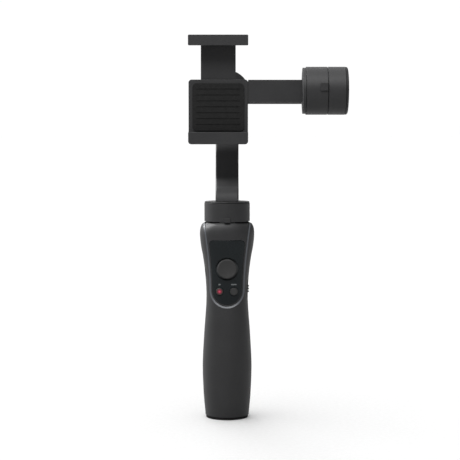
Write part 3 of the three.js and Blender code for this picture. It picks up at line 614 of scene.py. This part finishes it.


# The lip's chamfer is the shell's own charcoal ABS, a little glossier; its much lighter colour is a painted
# highlight.
chamfer_abs_painted_highlight = eroded_plastic("charcoal ABS with painted highlight", "#3d3f43", "#47494d", 0.38, 1.5, 0.004)
lip = skin_strip("grip_lip_chamfer", fascia_outline, [
    (gap + 0.02, lip_depth - 0.05), (gap + lip_chamfer * 0.5, lip_depth * 0.42), (gap + lip_chamfer, -0.02),
    (gap + lip_chamfer - 0.1, 0.35), (gap + 0.02, lip_depth + 0.35)])
below_fascia = 60
carve(lip, block((-far, -far, below_fascia), (far, -5, grip_top - 0.3)), how="INTERSECT")
settle(soften(lip, angle=50), chamfer_abs_painted_highlight, "handle", "charcoal_plastic")


def facet(x, z):
    """The fascia's top corners are planed off towards the round motor."""
    plane = 0.2 * (abs(x) - fascia_half) + 0.42 * (z - (grip_top - 4.9))
    ease = 0.15
    return 0.5 * (plane + math.hypot(plane, ease))


fascia_sink = 0.6
fascia_profile = [(0, 2.6), (0, fascia_sink + 0.1), (-0.1, fascia_sink)]
fascia = skin_solid("control_fascia_moulding", fascia_outline, fascia_profile, grip_top - 30, facet, 30)
carve(fascia, block((-far, -far, below_fascia), (far, -6, grip_top)), how="INTERSECT")
pocket = [(gap, 8), (gap, fascia_sink), (gap + 0.12, fascia_sink - 0.1), (gap + 0.12, -3)]
carve(fascia, skin_solid("pocket", panel_outline, pocket, grip_top - 40))
settle(soften(fascia, angle=28), charcoal_abs, "handle", "charcoal_plastic", "control_fascia")


def dyed_acrylic(name, code):
    """Dyed acrylic, polished by its mould: deep, glossy and nearly black."""
    material, tree, shader, place = new_material(name)
    haze = add_node(tree, "ShaderNodeTexNoise", {"Vector": place, "Scale": 1000 / 14, "Detail": 4.0})
    two_tones(tree, shader, code, "#0c1214", haze.outputs["Fac"])
    uneven(tree, shader, haze.outputs["Fac"], 0.22, 0.3)
    shader.inputs["IOR"].default_value = 1.49
    shader.inputs["Specular IOR Level"].default_value = 0.18
    return material


acrylic = dyed_acrylic("dyed black acrylic", "#090d0f")
stick_low, stick_high = span("joystick_cap")
stick_z = (stick_low.z + stick_high.z) / 2
record_low, record_high = span("record_button")
mode_low, mode_high = span("mode_button")
record_x = (record_low.x + record_high.x) / 2
mode_x = (mode_low.x + mode_high.x) / 2
well_radius = stick_high.x + 1.3
panel_sink = fascia_sink + 0.05
panel_profile = [
    (0, panel_sink + 1.8), (0, panel_sink + 0.3), (-0.09, panel_sink + 0.09), (-0.3, panel_sink)]
panel = skin_solid("control_panel_acrylic", panel_outline, panel_profile, grip_top - 40, fill=26)
carve(panel, rod(well_radius, (0, 0, stick_z), -30, 0, segments=96))
button_gap = 0.3
for x, high in ((record_x, record_high), (mode_x, mode_high)):
    carve(panel, rod(high.x - x + button_gap, (x, 0, button_z), -30, 0))
settle(soften(panel, 0.2, 2, 60), acrylic, "handle", "gloss_panel", "control_panel")


def screen_print(name, code):
    """Screen-printed ink: thin, flat and slightly uneven."""
    material, tree, shader, place = new_material(name)
    mesh = add_node(tree, "ShaderNodeTexNoise", {"Vector": place, "Scale": 1000 / 0.5})
    two_tones(tree, shader, "#3e4142", code, mesh.outputs["Fac"])
    shader.inputs["Roughness"].default_value = 0.6
    return material


ink = screen_print("grey screen print", "#5e6162")
marks_z = button_z + 5.4


def mark(name, left, right, height):
    """A thin printed mark with round ends that follows the panel's face."""
    rings = []
    for turn in np.linspace(0.1, math.pi - 0.1, 25):
        x = (left + right) / 2 - (right - left) / 2 * math.cos(turn)
        half = min(height / 2, math.sqrt(max(0.01, (x - left) * (right - x))))
        face = skin_y(x, marks_z) + panel_sink
        rings.append([(x, face - 0.05, marks_z - half), (x, face - 0.05, marks_z + half),
                      (x, face + 0.1, marks_z + half), (x, face + 0.1, marks_z - half)])
    settle(soften(loft(name, rings)), ink, "handle", "gloss_panel")


mark("record_mark", record_x - 0.8, record_x + 0.8, 1.1)
mark("mode_mark", mode_x - 2.1, mode_x + 2.1, 0.9)

# ---- Joystick, buttons and zoom slider ----
# The joystick's disc is soft-touch ABS with a shallow dish. The record button is
# red silicone in a moulded bezel, the mode button is ABS, and the slider is ribbed.
stick_radius = stick_high.x
face = stick_low.y
rim_radius = 0.75
dish_radius, dish_depth = stick_radius - 1.5, 0.6
dish = [(0, face + rim_radius)]
for step in range(1, 9):
    share = step / 8
    dish.append((share * dish_radius, face + rim_radius - dish_depth * share ** 2))
for step in range(7):
    turn = math.radians(15 * step)
    dish.append((stick_radius - rim_radius + rim_radius * math.sin(turn),
                 face + rim_radius - rim_radius * math.cos(turn)))
stem_radius, stem_end = 1.2, -13
disc_back = face + 1.6
dish += [(stick_radius, face + 1.2), (stick_radius - 0.5, disc_back), (stem_radius, disc_back),
         (stem_radius, stem_end), (0, stem_end)]
stick = turned("joystick_dish", dish, (0, 0, stick_z), "Y")
ball_radius = 1.7
pivot_y = stick_high.y - ball_radius
ball = [(ball_radius * math.sin(turn), pivot_y - ball_radius * math.cos(turn))
        for turn in [math.radians(15 * step) for step in range(13)]]
ball[0], ball[-1] = (0, ball[0][1]), (0, ball[-1][1])
carve(stick, turned("ball", ball, (0, 0, stick_z), "Y", 32), how="UNION")
boot_front = face + 3.8
boot_back = boot_front + 0.8
boot_hole, boot_edge = 2.2, well_radius - 0.1
boot_silicone = cast_rubber("dark grey silicone", "#282a2b", "#2f3132")
boot = turned("joystick_boot", [
    (boot_hole, boot_front), (boot_edge, boot_front), (boot_edge, boot_back), (boot_hole, boot_back),
    (boot_hole, boot_front)], (0, 0, stick_z), "Y")
settle(soften(boot, 0.2), boot_silicone, "handle", "rubber")
soft_touch = eroded_plastic("soft-touch charcoal ABS", "#1f1f1f", "#262626", 0.62, 0.7)
settle(soften(stick, angle=40), soft_touch, "joystick_cap", "charcoal_plastic", "joystick_cap")


def push_button(name, x, low, high):
    """A flat button with a round edge, on a stem that reaches its switch."""
    radius = high.x - x
    edge, thick = 0.4, 3
    outline = [(step / 6 * (radius - edge), low.y) for step in range(7)]
    for step in range(1, 7):
        turn = math.radians(15 * step)
        outline.append((radius - edge + edge * math.sin(turn), low.y + edge - edge * math.cos(turn)))
    outline += [(radius, low.y + thick), (stem_radius, low.y + thick), (stem_radius, high.y), (0, high.y)]
    return soften(turned(name, outline, (x, 0, button_z), "Y", 96), angle=40)


def silicone(name, dark, light):
    """Dyed silicone rubber: slightly soft sheen, with light spreading just inside it."""
    material, tree, shader, place = new_material(name)
    cloud = add_node(tree, "ShaderNodeTexNoise", {"Vector": place, "Scale": 1000 / 2.5, "Detail": 3.0})
    two_tones(tree, shader, dark, light, cloud.outputs["Fac"])
    shader.inputs["Roughness"].default_value = 0.4
    shader.inputs["Subsurface Weight"].default_value = 0.15
    shader.inputs["Subsurface Scale"].default_value = 0.0008
    return material


red_silicone = silicone("dark red silicone", "#520a1a", "#600e20")
clear_red = silicone("clear red light guide", "#9a1c3a", "#ac2848")
record_dot_radius = 2.0
record = push_button("record_bezel", record_x, record_low, record_high)
carve(record, rod(record_dot_radius + 0.08, (record_x, 0, button_z), -30, record_low.y + 0.5))
bezel_abs = eroded_plastic("grey ABS", "#222220", "#2a2a28", 0.5, 0.7)
settle(record, bezel_abs, "record_button", "red_button", "record_button")
dot = [(0, record_low.y - 0.1), (record_dot_radius * 0.7, record_low.y - 0.06),
       (record_dot_radius, record_low.y + 0.15), (record_dot_radius, record_low.y + 0.45),
       (0, record_low.y + 0.45)]
record_dot = turned("record_dot", dot, (record_x, 0, button_z), "Y", 64)
settle(soften(record_dot), red_silicone, "record_button", "red_button")
guide_radius = 0.95
guide = turned("record_light_guide", [
    (0, record_low.y - 0.18), (guide_radius * 0.8, record_low.y - 0.15), (guide_radius, record_low.y),
    (guide_radius, record_low.y + 0.3), (0, record_low.y + 0.3)], (record_x, 0, button_z), "Y", 48)
settle(soften(guide), clear_red, "record_button", "red_button")

mode = push_button("mode_disc", mode_x, mode_low, mode_high)
settle(mode, soft_touch, "mode_button", "charcoal_plastic", "mode_button")

rib_pitch = 2.05
knob_half_y = 2.2
knob_half_z = 4.2
knob_x = section(zoom_z)[0] - 1.0
slider = block((zoom_low.x + 1, zoom_y - knob_half_y, zoom_z - knob_half_z),
               (knob_x, zoom_y + knob_half_y, zoom_z + knob_half_z), "zoom_slider_ribbed")
carve(slider, block(zoom_low, (zoom_low.x + 1.2, zoom_high.y, zoom_high.z)), how="UNION")
rib_radius, rib_inset = 0.62, 0.2
for step in (-1, 0, 1):
    rib_centre = (zoom_high.x - rib_radius, 0, zoom_z + step * rib_pitch)
    rib = rod(rib_radius, rib_centre, zoom_y - knob_half_y + rib_inset,
              zoom_y + knob_half_y - rib_inset, segments=32)
    carve(slider, rib, how="UNION")
settle(soften(slider, 0.15, 2), soft_touch, "zoom_slider", "charcoal_plastic", "zoom_slider")

# ---- Motor housings ----
# Each motor has a cup for its rotor and a cup for its stator, machined and sprayed
# matte charcoal. A hair of shadow shows where the halves run past each other.
cup_wall = 1.6
cup_floor = 2
shaft_hole = 2.3
lip_step = 0.8


def cup(name, cad_node, axis, centre, opens, body, rim=None, lip=0.0):
    """A housing cup that opens to an end of its axis, +1 or -1; a lip reaches into the seam."""
    low, high = span(cad_node)
    index = "XYZ".index(axis)
    radius = max((high[i] - low[i]) / 2 for i in range(3) if i != index)
    centre_on_axis = list(centre)
    centre_on_axis[index] = 0
    floor, mouth = (low[index], high[index]) if opens > 0 else (high[index], low[index])
    if rim is not None:
        mouth = rim
    inside = floor + math.copysign(cup_floor, opens)
    lip_end = mouth + math.copysign(lip, opens)
    outline = [(shaft_hole, floor), (radius, floor), (radius, mouth)]
    if lip:
        outline += [(radius - lip_step, mouth), (radius - lip_step, lip_end)]
    outline += [(radius - cup_wall, lip_end), (radius - cup_wall, inside), (shaft_hole, inside),
                (shaft_hole, floor)]
    made = turned(name, outline, centre_on_axis, axis)
    settle(soften(made, 0.2), charcoal_abs, body, "charcoal_plastic", cad_node)


half_seam = 0.3
roll_low, roll_high = span("roll_rotor_housing")
roll_y = roll_high.y + half_seam
axis_z = (roll_low.z + roll_high.z) / 2
tilt_low, tilt_high = span("tilt_rotor_housing")
tilt_y = (tilt_low.y + tilt_high.y) / 2
roll_radius = roll_high.z - axis_z
tilt_radius = span("tilt_outer_housing")[1].z - axis_z
tilt_seam = tilt_high.x + half_seam
roll_centre = (0, 0, axis_z)
tilt_centre = (0, tilt_y, axis_z)
# The stator cups say where their rims end, because a bearing tube reaches further.
roll_rim = roll_y + half_seam
tilt_rim = tilt_seam + half_seam
# How far a stator cup's lip reaches into the 0.6 mm seam, to hide the windings.
seam_lip = 0.45
cup("pan_rotor_cup", "pan_rotor_housing", "Z", (0, 0, 0), -1, "pan_stage")
cup("roll_rotor_cup", "roll_rotor_housing", "Y", roll_centre, 1, "roll_stage")
cup("roll_stator_cup", "roll_stator_housing", "Y", roll_centre, -1, "pan_stage", roll_rim, seam_lip)
cup("tilt_rotor_cup", "tilt_rotor_housing", "X", tilt_centre, 1, "clamp")
cup("tilt_stator_cup", "tilt_outer_housing", "X", tilt_centre, -1, "roll_stage", tilt_rim, seam_lip)

cover_low, cover_high = span("pan_cover")
cover = turned("pan_cover_disc", [
    (0, cover_low.z), (cover_high.x, cover_low.z), (cover_high.x, cover_high.z), (0, cover_high.z)])
settle(soften(cover, 0.25), black_abs, "pan_stage", "black_plastic", "pan_cover")

cap_low, cap_high = span("tilt_end_cap")
cap_radius = (cap_high.z - cap_low.z) / 2
crown = [(cap_radius, cap_low.x)]
round_by, crown_rise = 1.4, 0.25
for step in range(8):
    turn = math.radians(90 * step / 7)
    crown.append((cap_radius - round_by + round_by * math.cos(turn),
                  cap_high.x - round_by + round_by * math.sin(turn) - crown_rise))
crown += [(cap_radius * 0.6, cap_high.x - 0.06), (0, cap_high.x)]
end_cap = turned("tilt_end_cap_disc", [(0, cap_low.x)] + crown, tilt_centre, "X")
settle(soften(end_cap), black_abs, "roll_stage", "black_plastic", "tilt_end_cap")

for motor, body, rooted in (("pan", "pan_stage", 0.3), ("tilt", "clamp", 0.0)):
    low, high = span(motor + "_index_tab")
    tab = block(low, (high.x, high.y + rooted, high.z), motor + "_index_lug")
    settle(soften(tab, 0.35), charcoal_abs, body, "charcoal_plastic", motor + "_index_tab")

# ---- Arms ----
# Both arms are one blade section, cast in magnesium and sprayed charcoal, with a
# snap-in cover on the outside that hides the flat cable to the next motor.
blade_width = 17.9
blade_half = 3.65
cover_depth = 1.6
cover_gap = 0.15
arm_corner, strip_corner = 1.2, 0.6
foot_spread = 7.4
seat_z = span("pan_arm")[0].z


def bar(name, line, low, high, width, corner, plane):
    """A bar along a line of 2D points, between two offsets to its left, with round corners."""
    line = np.array(line)
    ahead = np.gradient(line, axis=0)
    ahead /= np.linalg.norm(ahead, axis=1)[:, None]
    travel = np.concatenate([[0], np.cumsum(np.linalg.norm(np.diff(line, axis=0), axis=1))])
    travel /= travel[-1]
    rings = []
    for point, along, t in zip(line, ahead, travel):
        left = np.array((-along[1], along[0]))
        a, b = low(t), high(t)
        middle, half = (a + b) / 2, (b - a) / 2
        ring = []
        for cu, cv, start in ((1, 1, 0), (-1, 1, 90), (-1, -1, 180), (1, -1, 270)):
            for step in range(7):
                turn = math.radians(start + 15 * step)
                u = cu * (half - corner) + corner * math.cos(turn) + middle
                v = cv * (width / 2 - corner) + corner * math.sin(turn)
                spot = point + left * u
                ring.append((v, spot[0], spot[1]) if plane == "YZ" else (spot[0], spot[1], axis_z + v))
        rings.append(ring)
    return loft(name, rings)


pan_line = through(np.array([
    (2, seat_z - 7), (3.5, seat_z), (8, grip_top + 23.5), (12.6, grip_top + 32.5),
    (16, grip_top + 44.5), (19, axis_z - 46.3), (26, axis_z - 38.3), (roll_y - 3, axis_z - 31.8),
    (roll_y + 3.5, axis_z - 23.3), (roll_y + 5.7, axis_z - 12.5)]), 14)


def foot(t):
    """How far the pan arm's foot spreads towards the motor."""
    return foot_spread * (1 - smoothstep(t, 0.07, 0.3))


def pan_blade(name, low, high, width, corner):
    """A bar along the pan arm, cut off at both motors."""
    made = bar(name, pan_line, low, high, width, corner, "YZ")
    housing = rod(roll_radius, roll_centre, roll_y - 12, roll_y + 40, segments=192)
    return carve(made, housing, block((-20, -40, 0), (20, 40, seat_z)))


pan_arm = pan_blade("pan_arm_casting", lambda t: -blade_half - foot(t) + cover_depth + cover_gap,
                    lambda t: blade_half + foot(t), blade_width, arm_corner)
settle(soften(pan_arm), charcoal_abs, "pan_stage", "charcoal_plastic", "pan_arm")
pan_cover_strip = pan_blade("pan_arm_cover_strip", lambda t: -blade_half - foot(t),
                            lambda t: -blade_half - foot(t) + cover_depth, blade_width - 1, strip_corner)
settle(soften(pan_cover_strip), black_abs, "pan_stage", "charcoal_plastic", "pan_arm_cover")

roll_arm_y = roll_y - 0.8 - blade_half
arm_x = span("roll_arm_cover")[1].x - blade_half
bend = 25
roll_line = [(x, roll_arm_y) for x in np.linspace(13.6, arm_x - bend, 12, endpoint=False)]
roll_line += [
    (arm_x - bend + bend * math.sin(t), roll_arm_y - bend + bend * math.cos(t))
    for t in np.linspace(0, math.pi / 2, 40, endpoint=False)]
roll_line += [(arm_x, y) for y in np.linspace(roll_arm_y - bend, tilt_y + 13, 8)]


def roll_blade(name, low, high, width, corner):
    """A bar along the roll arm, cut off at both motors."""
    made = bar(name, roll_line, low, high, width, corner, "XY")
    return carve(made, rod(roll_radius, roll_centre, -40, 60, segments=192),
                 rod(tilt_radius, tilt_centre, 0, 120, "X", 192))


roll_arm = roll_blade("roll_arm_casting", lambda t: -blade_half,
                      lambda t: blade_half - cover_depth - cover_gap, blade_width, arm_corner)
settle(soften(roll_arm), charcoal_abs, "roll_stage", "charcoal_plastic", "roll_arm")
roll_strip = roll_blade("roll_arm_cover_strip", lambda t: blade_half - cover_depth,
                        lambda t: blade_half, blade_width - 1, strip_corner)
settle(soften(roll_strip), black_abs, "roll_stage", "charcoal_plastic", "roll_arm_cover")

# ---- Clamp ----
# The bracket carries the clamp body, whose floor and lip hold the lower edge of a
# phone. The upper jaw slides out of it on two rods, pulled down by springs.


def slab(low, high, corner, name="slab"):
    """A box with its corners rounded as seen from the front."""
    outline = []
    for cx, cz, start, round_by in (
            (high[0] - corner, high[2] - corner, 0, corner),
            (low[0] + corner, high[2] - corner, 90, corner),
            (low[0] + corner, low[2] + corner, 180, corner),
            (high[0] - corner, low[2] + corner, 270, corner)):
        for step in range(9):
            turn = math.radians(start + 11.25 * step)
            outline.append((cx + round_by * math.cos(turn), cz + round_by * math.sin(turn)))
    return loft(name, [[(x, y, z) for x, z in outline] for y in (low[1], high[1])])


body_low, body_high = span("clamp_body")
jaw_low, jaw_high = span("upper_jaw")
left, right = body_low.x, body_high.x
centre_x = (left + right) / 2
lip_front, plate_back = body_low.y, body_high.y
lip_back = lip_front + 3
plate_front = plate_back - 6.4
lip_corner = 2.4
pad_bottom, pad_top = [corner.z for corner in span("lower_jaw_pad")]
pad_gap = 0.15
floor_top = pad_bottom - pad_gap
lip_top = pad_top + 4.8
above = 400

clamp = slab((left, lip_front, body_low.z), (right, plate_back, body_high.z), lip_corner,
             "clamp_body_moulding")
carve(clamp, block((left - 1, lip_back, floor_top), (right + 1, plate_front, above)),
      block((left - 1, lip_front - 1, lip_top), (right + 1, lip_back + 1, above)))
slide_half, slide_gap, plate_wall = 13.3, 0.35, 1.8
slot_front, slot_back = plate_front + plate_wall, plate_front + 4.9
carve(clamp, block((centre_x - slide_half - slide_gap, slot_front, floor_top + 6),
                   (centre_x + slide_half + slide_gap, slot_back, above)),
      block((left + plate_wall, slot_front, floor_top + 1.5),
            (right - plate_wall, 40, body_high.z - plate_wall)))
settle(soften(clamp, 0.55), charcoal_abs, "clamp", "charcoal_plastic", "clamp_body")

back_low, back_high = span("clamp_back_cover")
back = slab(back_low, back_high, lip_corner, "clamp_back_cover_plate")
screw_low, screw_high = span("cover_screw")
screw_centre = ((screw_low.x + screw_high.x) / 2, 0, (screw_low.z + screw_high.z) / 2)
shank_hole, head_hole, head_depth = 1.1, 1.8, 1
carve(back, rod(shank_hole, screw_centre, -30, 10),
      rod(head_hole, screw_centre, back_high.y - head_depth, 10))
groove_half, groove_height, groove_depth = 14, 1.5, 0.45
for step in range(5):
    # Shallow grooves across the cover, as grip for a thumb.
    groove_z = back_low.z + 17 + step * 3.4
    carve(back, slab((centre_x - groove_half, back_high.y - groove_depth, groove_z),
                     (centre_x + groove_half, back_high.y + 1, groove_z + groove_height), 0.7))
settle(soften(back, 0.3, 2), black_abs, "clamp", "black_plastic", "clamp_back_cover")

for name, cad_node, body in (
        ("lower_jaw_rubber", "lower_jaw_pad", "clamp"), ("upper_jaw_rubber", "upper_jaw_pad", "jaw")):
    low, high = span(cad_node)
    strip = block(low, high, name)
    groove_depth = 0.35
    if cad_node == "lower_jaw_pad":
        groove_low, groove_high = high.z - groove_depth, high.z + 1
    else:
        groove_low, groove_high = low.z - 1, low.z + groove_depth
    for step in range(13):
        # Fine grooves across the phone's edge.
        groove_x = low.x + 1.6 + step * (high.x - low.x - 4.2) / 12
        carve(strip, block((groove_x, low.y - 1, groove_low), (groove_x + 1, high.y + 1, groove_high)))
    settle(soften(strip, 0.12, 2), rubber, body, "rubber", cad_node)

low, high = span("back_pad")
back_rubber = slab(low, high, 3, "back_pad_rubber")
groove_depth = 0.3
for step in range(7):
    groove_z = low.z + 4 + step * (high.z - low.z - 9) / 6
    carve(back_rubber, slab((low.x + 3, low.y - 1, groove_z),
                            (high.x - 3, low.y + groove_depth, groove_z + 1), 0.49))
settle(soften(back_rubber, 0.12, 2), rubber, "clamp", "rubber", "back_pad")

pad_bottom, pad_top = [corner.z for corner in span("upper_jaw_pad")]
jaw_floor = pad_top + pad_gap
jaw_corner = 0.8
jaw = slab((left, lip_front, pad_bottom - 1.3), (right, plate_back, jaw_high.z), jaw_corner,
           "upper_jaw_moulding")
carve(jaw, block((left - 1, lip_back, 0), (right + 1, plate_back + 1, jaw_floor)))
tongue = slab((centre_x - slide_half, slot_front + slide_gap, jaw_low.z),
              (centre_x + slide_half, slot_back - slide_gap, jaw_floor + 2), jaw_corner)
foot_half, foot_height = 19.9, 4
jaw_foot = block((centre_x - foot_half, slot_front + slide_gap, jaw_low.z),
                 (centre_x + foot_half, plate_back - slide_gap, jaw_low.z + foot_height))
carve(jaw, tongue, jaw_foot, how="UNION")
rod_hole, rod_x, rod_y = 1.3, 17.3, (slot_front + plate_back) / 2
for side in (-1, 1):
    carve(jaw, rod(rod_hole, (centre_x + side * rod_x, rod_y, 0),
                   jaw_low.z - 1, jaw_low.z + foot_height + 1, "Z", 32))
settle(soften(jaw, 0.55), charcoal_abs, "jaw", "charcoal_plastic", "upper_jaw")

bracket_low, bracket_high = span("clamp_bracket")
hub_radius = (bracket_high.z - bracket_low.z) / 2
hub_front = bracket_high.x - 2.1
bracket = turned("clamp_bracket_casting", [
    (0, hub_front), (hub_radius, hub_front), (hub_radius, bracket_high.x), (0, bracket_high.x)],
    tilt_centre, "X")
beam_half = 8.5
beam = block((right + 0.15, plate_front, axis_z - beam_half),
             (bracket_high.x - 1, plate_back, axis_z + beam_half))
carve(bracket, beam, how="UNION")
settle(soften(bracket, 0.5), charcoal_abs, "clamp", "charcoal_plastic", "clamp_bracket")

# ---- Floor and light ----
# White paper under a very large overhead diffuser, with a weaker one behind that
# throws the long soft shadow. Two softboxes and two weak strips shape the object;
# the softboxes are kept off the paper, so that it stays just white.
floor_mesh = bpy.data.meshes.new("floor")
floor_mesh.from_pydata([(-30, -3, 0), (30, -3, 0), (30, 60, 0), (-30, 60, 0)], [], [(0, 1, 2, 3)])
floor = bpy.data.objects.new("floor", floor_mesh)
bpy.context.collection.objects.link(floor)
paper, tree, shader, place = new_material("white paper")
fibre = add_node(tree, "ShaderNodeTexNoise", {"Vector": place, "Scale": 1000 / 3})
two_tones(tree, shader, "#fafafa", "#ffffff", fibre.outputs["Fac"])
shader.inputs["Roughness"].default_value = 0.95
shader.inputs["Specular IOR Level"].default_value = 0.1
floor_mesh.materials.append(paper)


def lamp(name, kind, place, power, **settings):
    """A lamp at a place in metres from the grip's axis, turned to the object's middle."""
    light = bpy.data.lights.new(name, kind)
    light.energy = power
    for key, value in settings.items():
        setattr(light, key, value)
    made = bpy.data.objects.new(name, light)
    bpy.context.collection.objects.link(made)
    made.location = Vector(place) + Vector((pan_x, pan_y, 0))
    made.rotation_euler = (Vector((0, 0, 0.15)) - Vector(place)).to_track_quat("-Z", "Y").to_euler()
    return made


lamp("overhead diffuser", "SUN", (-0.25, 0.05, 1.25), 2.0, angle=math.radians(95))
lamp("rear diffuser", "SUN", (-0.33, 1.2, 0.95), 0.45, angle=math.radians(30))
softboxes = (
    lamp("front softbox", "AREA", (-0.25, -0.7, 1.15), 21, shape="RECTANGLE", size=0.9, size_y=0.7),
    lamp("left rear softbox", "AREA", (-0.72, 0.42, 0.8), 19, shape="RECTANGLE",
         size=0.35, size_y=0.6))
lamp("left strip", "AREA", (-0.9, 0.3, 0.2), 0.3, shape="RECTANGLE", size=0.2, size_y=0.9)
lamp("right strip", "AREA", (0.95, 0.3, 0.3), 0.3, shape="RECTANGLE", size=0.2, size_y=0.9)
off_paper = bpy.data.collections.new("kept off the paper")
off_paper.objects.link(floor)
off_paper.collection_objects[0].light_linking.link_state = "EXCLUDE"
for softbox in softboxes:
    softbox.light_linking.receiver_collection = off_paper

world = bpy.data.worlds.new("white room")
bpy.context.scene.world = world
world.use_nodes = True
tree = world.node_tree
background = tree.nodes["Background"]
heading = add_node(tree, "ShaderNodeTexCoord").outputs["Generated"]
rightward = add_node(tree, "ShaderNodeSeparateXYZ", {"Vector": heading}).outputs["X"]
fill = add_node(tree, "ShaderNodeMapRange", {
    "Value": rightward, "From Min": -0.5, "From Max": 0.7, "To Min": 0.5, "To Max": 0.22})
seen = add_node(tree, "ShaderNodeLightPath").outputs["Is Camera Ray"]
backdrop = add_node(tree, "ShaderNodeMapRange", {
    "Value": seen, "To Min": fill.outputs["Result"], "To Max": 1.02})
tree.links.new(backdrop.outputs["Result"], background.inputs["Strength"])
background.inputs["Color"].default_value = (1, 1, 1, 1)
bpy.context.scene.view_settings.view_transform = "Standard"
